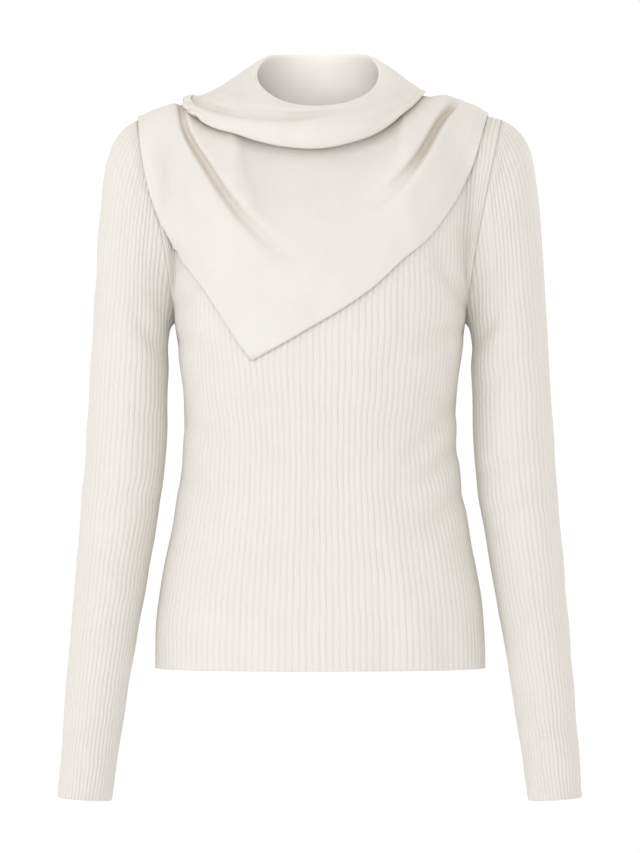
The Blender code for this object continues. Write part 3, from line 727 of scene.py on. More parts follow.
def section_half(half_breadth, depth, squareness, side, shares):
    """Half of a torso section, from the left side seam to the right one over the front or the back."""
    turn = np.linspace(-math.pi / 2, math.pi / 2, OUTLINE_STEPS + 1)
    power = 2.0 / squareness
    x = half_breadth * np.sign(np.sin(turn)) * np.abs(np.sin(turn)) ** power
    y = side * depth * np.abs(np.cos(turn)) ** power
    outline = np.stack([x, y, np.zeros_like(x)], axis=1)
    return evenly(outline, shares)


def upper_edge(edge, across):
    """Where a column ends: on the shoulder seam, or on the neckline between the two neck points."""
    neck_x, neck_z = NECK_POINT
    tip_x, tip_z = SHOULDER_TIP
    share = np.clip(np.abs(across) / NECKLINE_SHARE, 0.0, 1.0)
    turn = 0.5 * math.pi * (share + NECKLINE_ROUNDNESS * (share**3 - share))
    out = np.clip((np.abs(across) - NECKLINE_SHARE) / (1.0 - NECKLINE_SHARE), 0.0, 1.0)
    x = np.sign(across) * (neck_x * np.sin(turn) + (tip_x - neck_x) * out)
    y = edge["side"] * edge["neck_reach"] * np.cos(turn)
    z = neck_z - edge["neck_drop"] * np.cos(turn) + (tip_z - neck_z) * out**SHOULDER_BEND
    return np.stack([x, y, z], axis=1)


def panel_grid(name, columns):
    """A panel's surface over its ribs, and how many of its rows are below the armpit."""
    edge = UPPER_EDGES[name]
    side = edge["side"]
    across = np.linspace(-1.0, 1.0, columns + 1)
    depth_column = 2 if name == "front" else 3
    lowest, highest = TORSO_SECTIONS[0][0], TORSO_SECTIONS[-1][0]
    rows = []
    for section in smooth_table(TORSO_SECTIONS, lowest + hem_places(highest - lowest)):
        row = section_half(section[1], section[depth_column], section[4], side, (across + 1.0) / 2.0)
        row[:, 2] = section[0]
        rows.append(row)
    lower_rows = len(rows)
    bottom = rows[-1]
    top = upper_edge(edge, across)
    reach = np.linalg.norm(top - bottom, axis=1)[:, None]
    at_armhole = smooth_step(*ARMHOLE_ZONE, np.abs(across))[:, None]
    at_shoulder = smooth_step(*SHOULDER_ZONE, np.abs(across))[:, None]
    upward = reach * np.array([0.0, 0.0, 1.0])
    into_armhole = np.array([0.0, side * ARMHOLE_REACH, ARMHOLE_RISE])
    leave = upward * (1.0 - at_armhole) + into_armhole * at_armhole
    lean_y, lean_z = edge["lean"]
    to_neck = reach * np.array([0.0, -side * lean_y, lean_z])
    over_shoulder = reach * np.array([0.0, -side, 0.0])
    armhole_top = np.array([0.0, -side * ARMHOLE_REACH, 0.0])
    arrive = to_neck * (1.0 - at_shoulder) + over_shoulder * at_shoulder
    arrive = arrive * (1.0 - at_armhole) + armhole_top * at_armhole
    for step in range(1, PANEL_UPPER_ROWS + 1):
        rows.append(hermite(bottom, leave, top, arrive, step / PANEL_UPPER_ROWS))
    grid = np.array(rows)
    inside = (1.0 - smooth_step(*PANEL_MIDDLE_END, np.abs(across)))[None, :, None]
    first = lower_rows - ARMPIT_SOFTENING["rows_below"]
    last = lower_rows + ARMPIT_SOFTENING["rows_above"]
    soften_rows(grid, first, last, ARMPIT_SOFTENING["rounds"], inside)
    on_seam = np.abs(grid[:, :, 1]) < SEAM_GAP / 2.0
    grid[:, :, 1] = np.where(on_seam, side * SEAM_GAP / 2.0, grid[:, :, 1])
    return grid, lower_rows


def panel_normals(name, grid, lower_rows):
    normals = grid_normals(grid, closed=False)
    if name == "back":
        normals = -normals
    normals[:lower_rows, 0] = (-1.0, 0.0, 0.0)
    normals[:lower_rows, -1] = (1.0, 0.0, 0.0)
    on_shoulder = np.abs(np.linspace(-1.0, 1.0, grid.shape[1])) >= NECKLINE_SHARE
    top = normals[-1]
    top[on_shoulder, 1] = 0.0
    normals[-1] = unit(top)
    return normals


def seam_dip(distance):
    return SEAM_DIP * np.exp(-((distance / SEAM_DIP_WIDTH) ** 2))


def seam_fade(distance, reach):
    """The share of the ribs' height that is left near a seam."""
    return SEAM_RIB + (1.0 - SEAM_RIB) * smooth_step(0.0, reach, distance)


def make_panel(name, material):
    columns = COLUMNS_PER_RIB * PANEL_RIBS
    grid, lower_rows = panel_grid(name, columns)
    normals = panel_normals(name, grid, lower_rows)
    across = np.abs(np.linspace(-1.0, 1.0, columns + 1))[None, :]
    creases = FRONT_CREASES if name == "front" else BACK_CREASES
    x, z = grid[:, :, 0], grid[:, :, 2]
    height = crease_height(x, z, creases) + unevenness(x, z)
    height *= 1.0 - smooth_step(*PANEL_EDGE_FADE, across)
    step = np.linalg.norm(np.diff(grid, axis=1), axis=2)
    from_left = np.concatenate([np.zeros((len(grid), 1)), np.cumsum(step, axis=1)], axis=1)
    from_edge = np.minimum(from_left, from_left[:, -1:] - from_left)
    grid += normals * height[..., None]
    skin = grid[::SKIN_STEP, ::COLUMNS_PER_RIB]
    if (len(grid) - 1) % SKIN_STEP:
        skin = np.concatenate([skin, grid[-1:, ::COLUMNS_PER_RIB]])
    dipped = grid - normals * seam_dip(from_edge)[..., None]
    column = np.arange(columns + 1.0)[None, :]
    to_side = np.minimum(column, columns - column)
    outer = ribbed(dipped, normals, seam_fade(to_side, COLUMNS_PER_RIB / 2.0))
    inner = (grid - WALL * normals)[:, ::INNER_STEP]
    for row, depth in enumerate(edge_depths()):
        inner[row] -= depth * (inner[row] - outer[row, ::INNER_STEP])
        outer[row] -= normals[row] * depth * WALL
    knit = knit_grid(grid, 1.0 / COLUMNS_PER_RIB, closed=False)
    shell = Shell()
    out_ids = shell.add_grid(outer)
    in_ids = shell.add_grid(inner)
    flipped = name == "back"
    inner_knit = knit[:, ::INNER_STEP]
    shell.cover(out_ids, knit, flipped)
    shell.cover(in_ids, inner_knit, not flipped)
    shell.bridge(out_ids[0], in_ids[0], knit[0], flipped, True)
    shell.bridge(out_ids[-1], in_ids[-1], knit[-1], not flipped, False)
    shell.bridge(out_ids[:, 0], in_ids[:, 0], knit[:, 0], not flipped, False)
    shell.bridge(out_ids[:, -1], in_ids[:, -1], knit[:, -1], flipped, False)
    piece = shell.make_object("knit_" + name, material)
    return {"piece": piece, "grid": grid, "normals": normals, "lower_rows": lower_rows, "skin": skin}


def armhole_loop(front, back, side):
    """The panels' edge round one armhole with its normals and the way off the cloth."""
    column = -1 if side > 0 else 0
    parts = []
    for panel in (front, back):
        first = panel["lower_rows"] - 1
        rows = panel["grid"][first:, column]
        facing = panel["normals"][first:, column]
        away = unit(np.cross(np.gradient(rows, axis=0), facing))
        away *= np.sign(away[0, 2])
        parts.append((rows, facing, away))
    return [np.concatenate([a[::-1], b], axis=0) for a, b in zip(parts[0], parts[1])]


def resample_loop(points, others, shares):
    """The loop's points and its other values at the given shares of its length."""
    steps = np.linalg.norm(np.diff(np.concatenate([points, points[:1]]), axis=0), axis=1)
    along = np.concatenate([[0.0], np.cumsum(steps)]) / steps.sum()
    found = []
    for values in (points, *others):
        ring = np.concatenate([values, values[:1]])
        found.append(np.stack([np.interp(shares, along, ring[:, axis]) for axis in range(3)], axis=1))
    return found


def sleeve_ellipse(section, side, shares):
    outer_x, outer_z, inner_x, inner_z, half_depth, middle_y = section[:6]
    turn = np.arange(OUTLINE_STEPS) / OUTLINE_STEPS * 2.0 * math.pi
    x = (outer_x + inner_x) / 2.0 + (outer_x - inner_x) / 2.0 * np.cos(turn)
    z = (outer_z + inner_z) / 2.0 + (outer_z - inner_z) / 2.0 * np.cos(turn)
    y = middle_y - half_depth * np.sin(turn)
    ring = np.stack([side * x, y, z], axis=1)
    return resample_loop(ring, (), shares)[0]


def cap_shares(shares, place):
    """Where the sleeve's columns cross a ring, drawn towards the armhole's top in the cap."""
    around, on_armhole = np.array(CAP_RIBS).T
    near = np.minimum(shares, 1.0 - shares)
    moved = np.interp(near, around, on_armhole)
    moved = np.where(shares > 0.5, 1.0 - moved, moved)
    return shares + (moved - shares) * max(0.0, 1.0 - place / CAP_END) ** CAP_BEND


def sleeve_places():
    """Places along the sleeve's table, about a row pitch apart and close together at the cuff."""
    table = np.array(SLEEVE_SECTIONS)
    middles = (table[:, 0:2] + table[:, 2:4]) / 2.0
    places = []
    for number, length in enumerate(np.linalg.norm(np.diff(middles, axis=0), axis=1)):
        count = max(3, int(round(length / ROW_PITCH)))
        if number == len(table) - 2:
            from_cuff = hem_places(length)[::-1]
            places.append(number + 1.0 - from_cuff / length)
        else:
            places.append(number + np.arange(count) / count)
    return np.concatenate(places)


def make_sleeve(name, side, front, back, material):
    columns = COLUMNS_PER_RIB * SLEEVE_RIBS
    shares = np.arange(columns) / columns
    loop, loop_facing, loop_away = armhole_loop(front, back, side)
    places = sleeve_places()
    rings = []
    for place, section in zip(places, smooth_table(numbered(SLEEVE_SECTIONS), places)[:, 1:]):
        crossing = cap_shares(shares, place)
        edge, away = resample_loop(loop, (loop_away,), crossing)
        first = sleeve_ellipse(SLEEVE_SECTIONS[0], side, crossing)
        ring = sleeve_ellipse(section, side, crossing) + section[6] * (edge - first)
        rings.append(ring + ARMHOLE_GAP * max(0.0, 1.0 - place) * unit(away))
    grid = np.array(rings)
    normals = grid_normals(grid, closed=True) * side
    normals[0] = unit(resample_loop(loop, (loop_facing,), cap_shares(shares, 0.0))[1])
    x, z = grid[:, :, 0] * side, grid[:, :, 2]
    to_front = smooth_step(*SLEEVE_FACING, -normals[:, :, 1])
    height = crease_height(x, z, SLEEVE_FRONT_CREASES[name]) * to_front
    height += crease_height(x, z, SLEEVE_BACK_CREASES[name]) * (1.0 - to_front)
    height += unevenness(x + SLEEVE_UNEVENNESS_SHIFT * side, z)
    height *= smooth_step(*SLEEVE_CREASE_START, places)[:, None]
    grid += normals * height[..., None]
    step = np.linalg.norm(np.diff(grid, axis=0), axis=2)
    along = np.concatenate([[np.zeros(columns)], np.cumsum(step, axis=0)])
    dipped = grid - normals * seam_dip(along)[..., None]
    fade = closed_ids(seam_fade(along, SEAM_FADE))
    outer = ribbed(closed_ids(dipped), closed_ids(normals), fade)[:, :-1]
    inner = (grid - WALL * normals)[:, ::INNER_STEP]
    for number, depth in enumerate(edge_depths()):
        row = -1 - number
        outer[row] -= normals[row] * depth * WALL
        inner[row] += normals[row, ::INNER_STEP] * depth * WALL
    knit = knit_grid(grid, 1.0 / COLUMNS_PER_RIB, closed=True)
    piece = tube_wall("knit_" + name, outer, inner, knit, side < 0, material)
    return {"piece": piece, "skin": grid[::SKIN_STEP, ::COLUMNS_PER_RIB // 2]}


def tube_wall(name, outer, inner, knit, flipped, material):
    """A wall between two grids that close round, with its first edge at a seam and its last one free."""
    shell = Shell()
    out_ids = closed_ids(shell.add_grid(outer))
    in_ids = closed_ids(shell.add_grid(inner))
    shell.cover(out_ids, knit, flipped)
    shell.cover(in_ids, knit[:, ::outer.shape[1] // inner.shape[1]], not flipped)
    shell.bridge(out_ids[0], in_ids[0], knit[0], flipped, False)
    shell.bridge(out_ids[-1], in_ids[-1], knit[-1], not flipped, True)
    return shell.make_object(name, material)


def make_skin(*sheets):
    """A search tree of sheets for cloth to lie on: grid, whether it closes, and whether it is flipped."""
    points = []
    faces = []
    for grid, closed, flipped in sheets:
        first = len(points)
        rows, columns = grid.shape[:2]
        points.extend(grid.reshape(-1, 3).tolist())
        for row in range(rows - 1):
            for column in range(columns if closed else columns - 1):
                a = first + row * columns + column
                b = first + row * columns + (column + 1) % columns
                corners = (a, b, b + columns, a + columns)
                faces.append(corners[::-1] if flipped else corners)
    return BVHTree.FromPolygons(points, faces)


def heights_above(skin, places):
    """How far places are outside the knit, and the way out of it there."""
    flat = places.reshape(-1, 3)
    heights = np.empty(len(flat))
    ways = np.empty((len(flat), 3))
    for number, place in enumerate(flat.tolist()):
        near, facing, _, _ = skin.find_nearest(place)
        heights[number] = (Vector(place) - near).dot(facing)
        ways[number] = facing
    return heights.reshape(places.shape[:-1]), ways.reshape(places.shape)


def needs_over(sheet, places, room):
    """How far places straight over an open sheet are short of the wanted room above it."""
    needs = np.zeros(places.shape[:2])
    for index in np.ndindex(needs.shape):
        place = Vector(places[index])
        near, facing, _, distance = sheet.find_nearest(place)
        height = (place - near).dot(facing)
        if distance < COLLAR_CLEAR_LIMIT and abs(height) >= STRAIGHT_OVER * distance:
            needs[index] = max(0.0, room - height)
    return needs


def around_neck(turn, front, right, back, left):
    """A value that runs smoothly round the neck through its four sides."""
    return (
        (front + right + back + left) / 4.0
        + (front - back) / 2.0 * np.cos(turn)
        + (right - left) / 2.0 * np.sin(turn)
        + (front + back - right - left) / 4.0 * np.cos(2.0 * turn)
    )


def ring_point(ring, turn):
    right, left, front, back, *heights = ring
    sine, cosine = np.sin(turn), np.cos(turn)
    x = np.where(sine > 0.0, right, left) * sine
    y = -np.where(cosine > 0.0, front, back) * cosine
    below_rim = (RIM_LEVEL - around_neck(turn, *heights)) / RIM_SOFTNESS
    return np.stack([x, y, RIM_LEVEL - RIM_SOFTNESS * np.log1p(np.exp(below_rim))], axis=-1)


def neckline_loop(panels, turns):
    """The panels' neckline, with its normals and the way off the cloth, at the given turns."""
    found = []
    for panel in panels:
        grid, normals = panel["grid"], panel["normals"]
        across = np.linspace(-1.0, 1.0, grid.shape[1])
        on_neck = np.abs(across) <= NECKLINE_SHARE + 1e-6
        edge = grid[-1, on_neck]
        facing = normals[-1, on_neck]
        upward = edge - grid[-2, on_neck]
        away = unit(upward - (upward * facing).sum(axis=1, keepdims=True) * facing)
        found.append((edge, facing, away))
    front, back = found
    loop = [np.concatenate([a, b[::-1]], axis=0) for a, b in zip(front, back)]
    angle = np.unwrap(np.arctan2(loop[0][:, 0], -loop[0][:, 1]))
    wanted = np.where(turns < angle[0], turns + 2.0 * math.pi, turns)
    order = np.concatenate([angle, [angle[0] + 2.0 * math.pi]])
    rings = []
    for values in loop:
        ring = np.concatenate([values, values[:1]])
        rings.append(np.stack([np.interp(wanted, order, ring[:, axis]) for axis in range(3)], axis=1))
    return rings


def soften_ring(values, rounds):
    """Evens out values round a closed ring of columns."""
    for _ in range(rounds):
        values = (np.roll(values, 1, axis=-1) + 2.0 * values + np.roll(values, -1, axis=-1)) / 4.0
    return values


def rest_collar(grid, drape):
    """Lifts the turned-under edge clear of the drape beneath it."""
    first = (len(COLLAR_RINGS) - COLLAR_FREE_RINGS) * COLLAR_STEPS
    rows = np.arange(float(len(grid) - first))
    ramp = smooth_step(0.0, COLLAR_LIFT_RAMP * COLLAR_STEPS, rows)
    under_from, under_to = (len(rows) - rings * COLLAR_STEPS for rings in COLLAR_UNDERSIDE)
    under = smooth_step(under_from, under_to, rows)
    room = COLLAR_ROOM + (COLLAR_EDGE_ROOM - COLLAR_ROOM) * under
    for _ in range(COLLAR_LIFT_ROUNDS):
        height, way = heights_above(drape, grid[first:])
        need = np.max(np.where(ramp[:, None] > 0.5, room[:, None] - height, 0.0), axis=0)
        need = np.maximum(need, 0.0)
        wide = need
        for shift in range(-COLLAR_LIFT_REACH, COLLAR_LIFT_REACH + 1):
            wide = np.maximum(wide, np.roll(need, shift))
        wide = soften_ring(wide, 2 * COLLAR_LIFT_REACH)
        outward = unit(soften_ring(way.mean(axis=0).T, 4 * COLLAR_LIFT_REACH).T)
        grid[first:] += ramp[:, None, None] * wide[None, :, None] * outward[None]
    ring = np.arange(len(grid))[:, None] / COLLAR_STEPS
    over = smooth_step(*COLLAR_CLEAR_FROM, ring) * (1.0 - smooth_step(*COLLAR_CLEAR_TO, ring))
    for _ in range(COLLAR_CLEAR_ROUNDS):
        need = needs_over(drape, grid, COLLAR_ROOM) * over
        lift = soften_ring(spread_lift(need), COLLAR_LIFT_SMOOTHING)
        grid -= grid_normals(grid, closed=True) * lift[..., None]


def make_collar(panels, drape, material):
    turns = np.arange(COLLAR_COLUMNS) / COLLAR_COLUMNS * 2.0 * math.pi
    turns = np.where(turns > math.pi, turns - 2.0 * math.pi, turns)
    edge, facing, away = neckline_loop(panels, turns)
    rings = [edge + ARMHOLE_GAP * unit(away)]
    rings += [ring_point(ring, turns) for ring in COLLAR_RINGS]
    middle, half_width, out, down = ROLL_END
    strength = np.exp(-(((np.degrees(turns) - middle) / half_width) ** 2))
    way = np.stack([out * np.sin(turns), -out * np.cos(turns), np.full_like(turns, -down)], axis=1)
    for ring, share in zip(rings[-len(ROLL_END_SHARES):], ROLL_END_SHARES):
        ring += (share * strength)[:, None] * way
    steps = np.linspace(0.0, len(rings) - 1.0, (len(rings) - 1) * COLLAR_STEPS + 1)
    table = numbered(np.array(rings).reshape(len(rings), -1))
    grid = smooth_table(table, steps)[:, 1:].reshape(len(steps), COLLAR_COLUMNS, 3)
    rest_collar(grid, drape)
    normals = -grid_normals(grid, closed=True)
    x, z = grid[:, :, 0], grid[:, :, 2]
    outside = smooth_step(*COLLAR_OUTSIDE, steps)[:, None] * smooth_step(*COLLAR_FACING, -grid[:, :, 1])
    height = crease_height(x, z, COLLAR_CREASES) * outside + unevenness(x, z)
    height *= smooth_step(*COLLAR_CREASE_START, steps)[:, None]
    grid += normals * height[..., None]
    normals = -grid_normals(grid, closed=True)
    normals[0] = -unit(facing)
    return scarf_wall("knit_collar", grid, normals, material)


def scarf_wall(name, outer, normals, material):
    """A thin wall under a grid that closes on itself, with the two sides drawn together at its free edge."""
    inner = outer - SCARF_WALL * normals
    between = inner[-1] - outer[-1]
    outer[-1] += SCARF_EDGE_DRAW * between
    inner[-1] -= SCARF_EDGE_DRAW * between
    length = np.linalg.norm(np.diff(outer, axis=1), axis=2).mean()
    return tube_wall(name, outer, inner, knit_grid(outer, length, closed=True), True, material)


def drape_edge(skin):
    """The drape's free edge as turns and points on the knit."""
    found = []
    for turn, x, z in DRAPE_EDGE_FRONT:
        hit = skin.ray_cast(Vector((x, -PROBE_REACH, z)), Vector((0.0, 1.0, 0.0)))[0]
        found.append((turn, *hit))
    for turn, x in DRAPE_EDGE_SHOULDERS:
        hit = skin.ray_cast(Vector((x, SHOULDER_PROBE_Y, PROBE_REACH)), Vector((0.0, 0.0, -1.0)))[0]
        found.append((turn, *hit))
    for turn, x, z in DRAPE_EDGE_BACK:
        hit = skin.ray_cast(Vector((x, PROBE_REACH, z)), Vector((0.0, -1.0, 0.0)))[0]
        found.append((turn, *hit))
    return np.array(sorted(found))


def drape_turns():
    """Columns that are close together over the front, with one on the tip."""
    right = int(DRAPE_FRONT_COLUMNS * (90.0 - DRAPE_TIP_TURN) / 180.0)
    left = DRAPE_FRONT_COLUMNS - right
    front_left = np.linspace(-90.0, DRAPE_TIP_TURN, left + 1)[:-1]
    front_right = np.linspace(DRAPE_TIP_TURN, 90.0, right + 1)[:-1]
    share = np.arange(DRAPE_BACK_COLUMNS) / DRAPE_BACK_COLUMNS
    back = 90.0 + 180.0 * (share - SHOULDER_CROWDING * np.sin(2.0 * math.pi * share))
    return np.concatenate([front_left, front_right, back])


def edge_points(skin, degrees):
    """The free edge as a smooth curve with one corner, at the tip."""
    edge = drape_edge(skin)
    tip = int(np.argmin(np.abs(edge[:, 0] - DRAPE_TIP_TURN)))
    after = edge[:tip + 1] + np.array([[360.0, 0.0, 0.0, 0.0]])
    run = np.concatenate([edge[tip:], after])
    wanted = np.where(degrees < DRAPE_TIP_TURN, degrees + 360.0, degrees)
    points = smooth_table(run, wanted)[:, 1:]
    points[:, 1] = soften_ring(points[:, 1], DRAPE_EDGE_SMOOTHING)
    for _ in range(DRAPE_EDGE_ROUNDS):
        height, way = heights_above(skin, points)
        way[:, 0] = 0.0
        need = soften_ring(np.maximum(SCARF_WALL + RESTING_GAP - height, 0.0), DRAPE_EDGE_SPREAD)
        points += unit(way) * need[:, None]
    return points


def draw_taut(grid, skin, wanted_height, settled, rounds):
    """Evens a sheet out between its two edges, and lifts it where it comes too near the knit."""
    for _ in range(rounds):
        for _ in range(DRAPE_SMOOTHING):
            ring = (np.roll(grid, 1, axis=1) + np.roll(grid, -1, axis=1)) / 2.0
            grid[1:-1] = (grid[:-2] + grid[2:] + 2.0 * ring[1:-1] + 4.0 * grid[1:-1]) / 8.0
        height, way = heights_above(skin, grid)
        need = np.maximum(wanted_height - height, 0.0) * settled
        grid += way * need[..., None]
    return grid


def refine(coarse, stride):
    """A grid that closes round its columns, divided finer on smooth curves."""
    rows = len(coarse)
    steps = np.linspace(0.0, rows - 1.0, (rows - 1) * stride + 1)
    grid = smooth_table(numbered(coarse.reshape(rows, -1)), steps)[:, 1:].reshape(len(steps), -1, 3)
    columns = grid.shape[1]
    wrapped = np.swapaxes(np.concatenate([grid[:, -2:], grid, grid[:, :3]], axis=1), 0, 1)
    places = 2.0 + np.arange(columns * stride) / stride
    fine = smooth_table(numbered(wrapped.reshape(columns + 5, -1)), places)[:, 1:]
    return np.swapaxes(fine.reshape(columns * stride, len(steps), 3), 0, 1)


def make_drape(skin, material):
    degrees = drape_turns()
    turns = np.radians(degrees)
    outer = edge_points(skin, degrees)
    start = ring_point(DRAPE_START, turns)
    covered = around_neck(turns, *DRAPE_COVERED)
    shares = np.arange(DRAPE_ROWS + 1) / DRAPE_ROWS
    straight = start[None] * (1.0 - shares)[:, None, None] + outer[None] * shares[:, None, None]
    height, way = heights_above(skin, straight)
    settled = smooth_step(0.0, DRAPE_FREE_ROWS, shares)[:, None]
    base = SCARF_WALL + RESTING_GAP
    grid = straight + way * ((base - height) * settled)[..., None]
    loft = smooth_step(covered, covered + DRAPE_LOFT_RISE, shares[:, None])
    loft = loft * (1.0 - smooth_step(DRAPE_LOFT_END, 1.0, shares[:, None]))
    at_front = smooth_step(*DRAPE_FACING, -grid[:, :, 1])
    lofty = base + loft * (DRAPE_LOFT * at_front + DRAPE_BACK_LOFT * (1.0 - at_front))
    coarse = (slice(None, None, DRAPE_STRIDE), slice(None, None, DRAPE_STRIDE))
    taut = grid[coarse].copy()
    taut = draw_taut(taut, skin, lofty[coarse], settled[::DRAPE_STRIDE], DRAPE_TAUT_ROUNDS)
    grid += refine(taut - grid[coarse], DRAPE_STRIDE)
    grid = draw_taut(grid, skin, lofty, settled, DRAPE_FINE_ROUNDS)
    normals = -grid_normals(grid, closed=True)
    x, z = grid[:, :, 0], grid[:, :, 2]
    fold = crease_height(x, z, DRAPE_CREASES) * at_front
    fold += crease_height(x, z, DRAPE_BACK_CREASES) * (1.0 - at_front)
    fold += unevenness(x, z)
    creased = smooth_step(*DRAPE_CREASE_FROM, shares) * (1.0 - smooth_step(*DRAPE_CREASE_TO, shares))
    fold *= creased[:, None]
    height, _ = heights_above(skin, grid)
    room = np.maximum(height - base, DRAPE_LEAST_ROOM)
    fold = np.where(fold < 0.0, -room * (1.0 - np.exp(np.minimum(fold, 0.0) / room)), fold)
    waves = sum(np.sin(number * turns + offset) for number, offset in DRAPE_EDGE_WAVES)
    near_edge = smooth_step(*DRAPE_EDGE_ZONE, shares)[:, None]
    fold += near_edge * DRAPE_EDGE_LIFT * (0.5 + 0.5 * waves / len(DRAPE_EDGE_WAVES))[None, :]
    grid += normals * fold[..., None]
    for _ in range(DRAPE_CLEAR_ROUNDS):
        normals = -grid_normals(grid, closed=True)
        height, _ = heights_above(skin, grid)
        need = np.maximum(base - height, 0.0) * settled
        grid += normals * spread_lift(need)[..., None]
    normals = -grid_normals(grid, closed=True)
    piece = scarf_wall("knit_drape", grid, normals, material)
    return {"piece": piece, "skin": grid[::SKIN_STEP, ::SKIN_STEP]}


def spread_lift(need):
    """A lift that covers the need at each point and fades smoothly round it."""
    wide = need
    for _ in range(LIFT_REACH):
        rows = np.maximum(np.concatenate([wide[1:], wide[-1:]]), np.concatenate([wide[:1], wide[:-1]]))
        wide = np.maximum(wide, rows)
        wide = np.maximum(wide, np.maximum(np.roll(wide, 1, axis=1), np.roll(wide, -1, axis=1)))
    for _ in range(LIFT_SOFTENING):
        rows = np.concatenate([wide[1:], wide[-1:]]) + np.concatenate([wide[:1], wide[:-1]])
        wide = (rows + np.roll(wide, 1, axis=1) + np.roll(wide, -1, axis=1) + 2.0 * wide) / 6.0
    return wide


class Nodes:
    """Short ways to add shader nodes to a material."""

    def __init__(self, material):
        self.tree = material.node_tree
        self.shader = material.node_tree.nodes["Principled BSDF"]

    def add(self, kind, **settings):
        node = self.tree.nodes.new(kind)
        for name, value in settings.items():
            setattr(node, name, value)
        return node

    def link(self, source, target):
        self.tree.links.new(source, target)

    def math(self, operation, first, second=None, third=None):
        node = self.add("ShaderNodeMath", operation=operation)
        for socket, value in zip(node.inputs, (first, second, third)):
            if value is None:
                continue
            if isinstance(value, (int, float)):
                socket.default_value = value
            else:
                self.link(value, socket)
        return node.outputs[0]

    def noise(self, vector, scale, detail, roughness):
        node = self.add("ShaderNodeTexNoise")
        node.inputs["Scale"].default_value = scale
        node.inputs["Detail"].default_value = detail
        node.inputs["Roughness"].default_value = roughness
        self.link(vector, node.inputs["Vector"])
        return node.outputs["Fac"]

    def mix_colour(self, share, first, second):
        node = self.add("ShaderNodeMix", data_type="RGBA")
        node.inputs["A"].default_value = first
        node.inputs["B"].default_value = second
        self.link(share, node.inputs["Factor"])
        return node.outputs["Result"]


# The wool: its colour when lit, the darker colour it is mixed towards in random patches and in painted
# shade, and its nap
WOOL = (0.688, 0.656, 0.600, 1.0)
WOOL_IN_PATCHES_AND_SHADE = (0.480, 0.415, 0.320, 1.0)
WOOL_ROUGHNESS = 0.88
WOOL_SPECULAR = 0.22
SHEEN_WEIGHT = 0.18
SHEEN_ROUGHNESS = 0.55
SHEEN_TINT = (1.0, 0.97, 0.92, 1.0)

# The stitches, in millimetres, and how strongly they and the loose fibres stand out
STITCH_LENGTH = 1.7
STITCH_SLANT = 1.5
STITCH_WAVE = 0.3
WALES_PER_RIB = 3.0
PLAIN_WALE = 1.9
FIBRE_NOISE = (900.0, 3.0, 0.7)
FIBRE_SHARE = 0.55
BUMP_STRENGTH = 0.5
BUMP_DISTANCE = 0.00035

# How much darker the wool is in random patches, and how strong the painted shade is between its stitches, in
# the ribs' grooves and in creases, where the painted crease shade follows ambient occlusion within the given
# reach
PATCH_NOISE = (26.0, 3.0, 0.55)
PATCH_SHADE = (0.16, -0.06)
PAINTED_STITCH_SHADE = (-0.08, 0.05)
PAINTED_GROOVE_SHADE = 0.10
PAINTED_GROOVE_NARROWNESS = 6.0
PAINTED_CREASE_REACH = 0.012
PAINTED_CREASE_SHADE = {"rib_knit": 0.3, "plain_knit": 1.4}


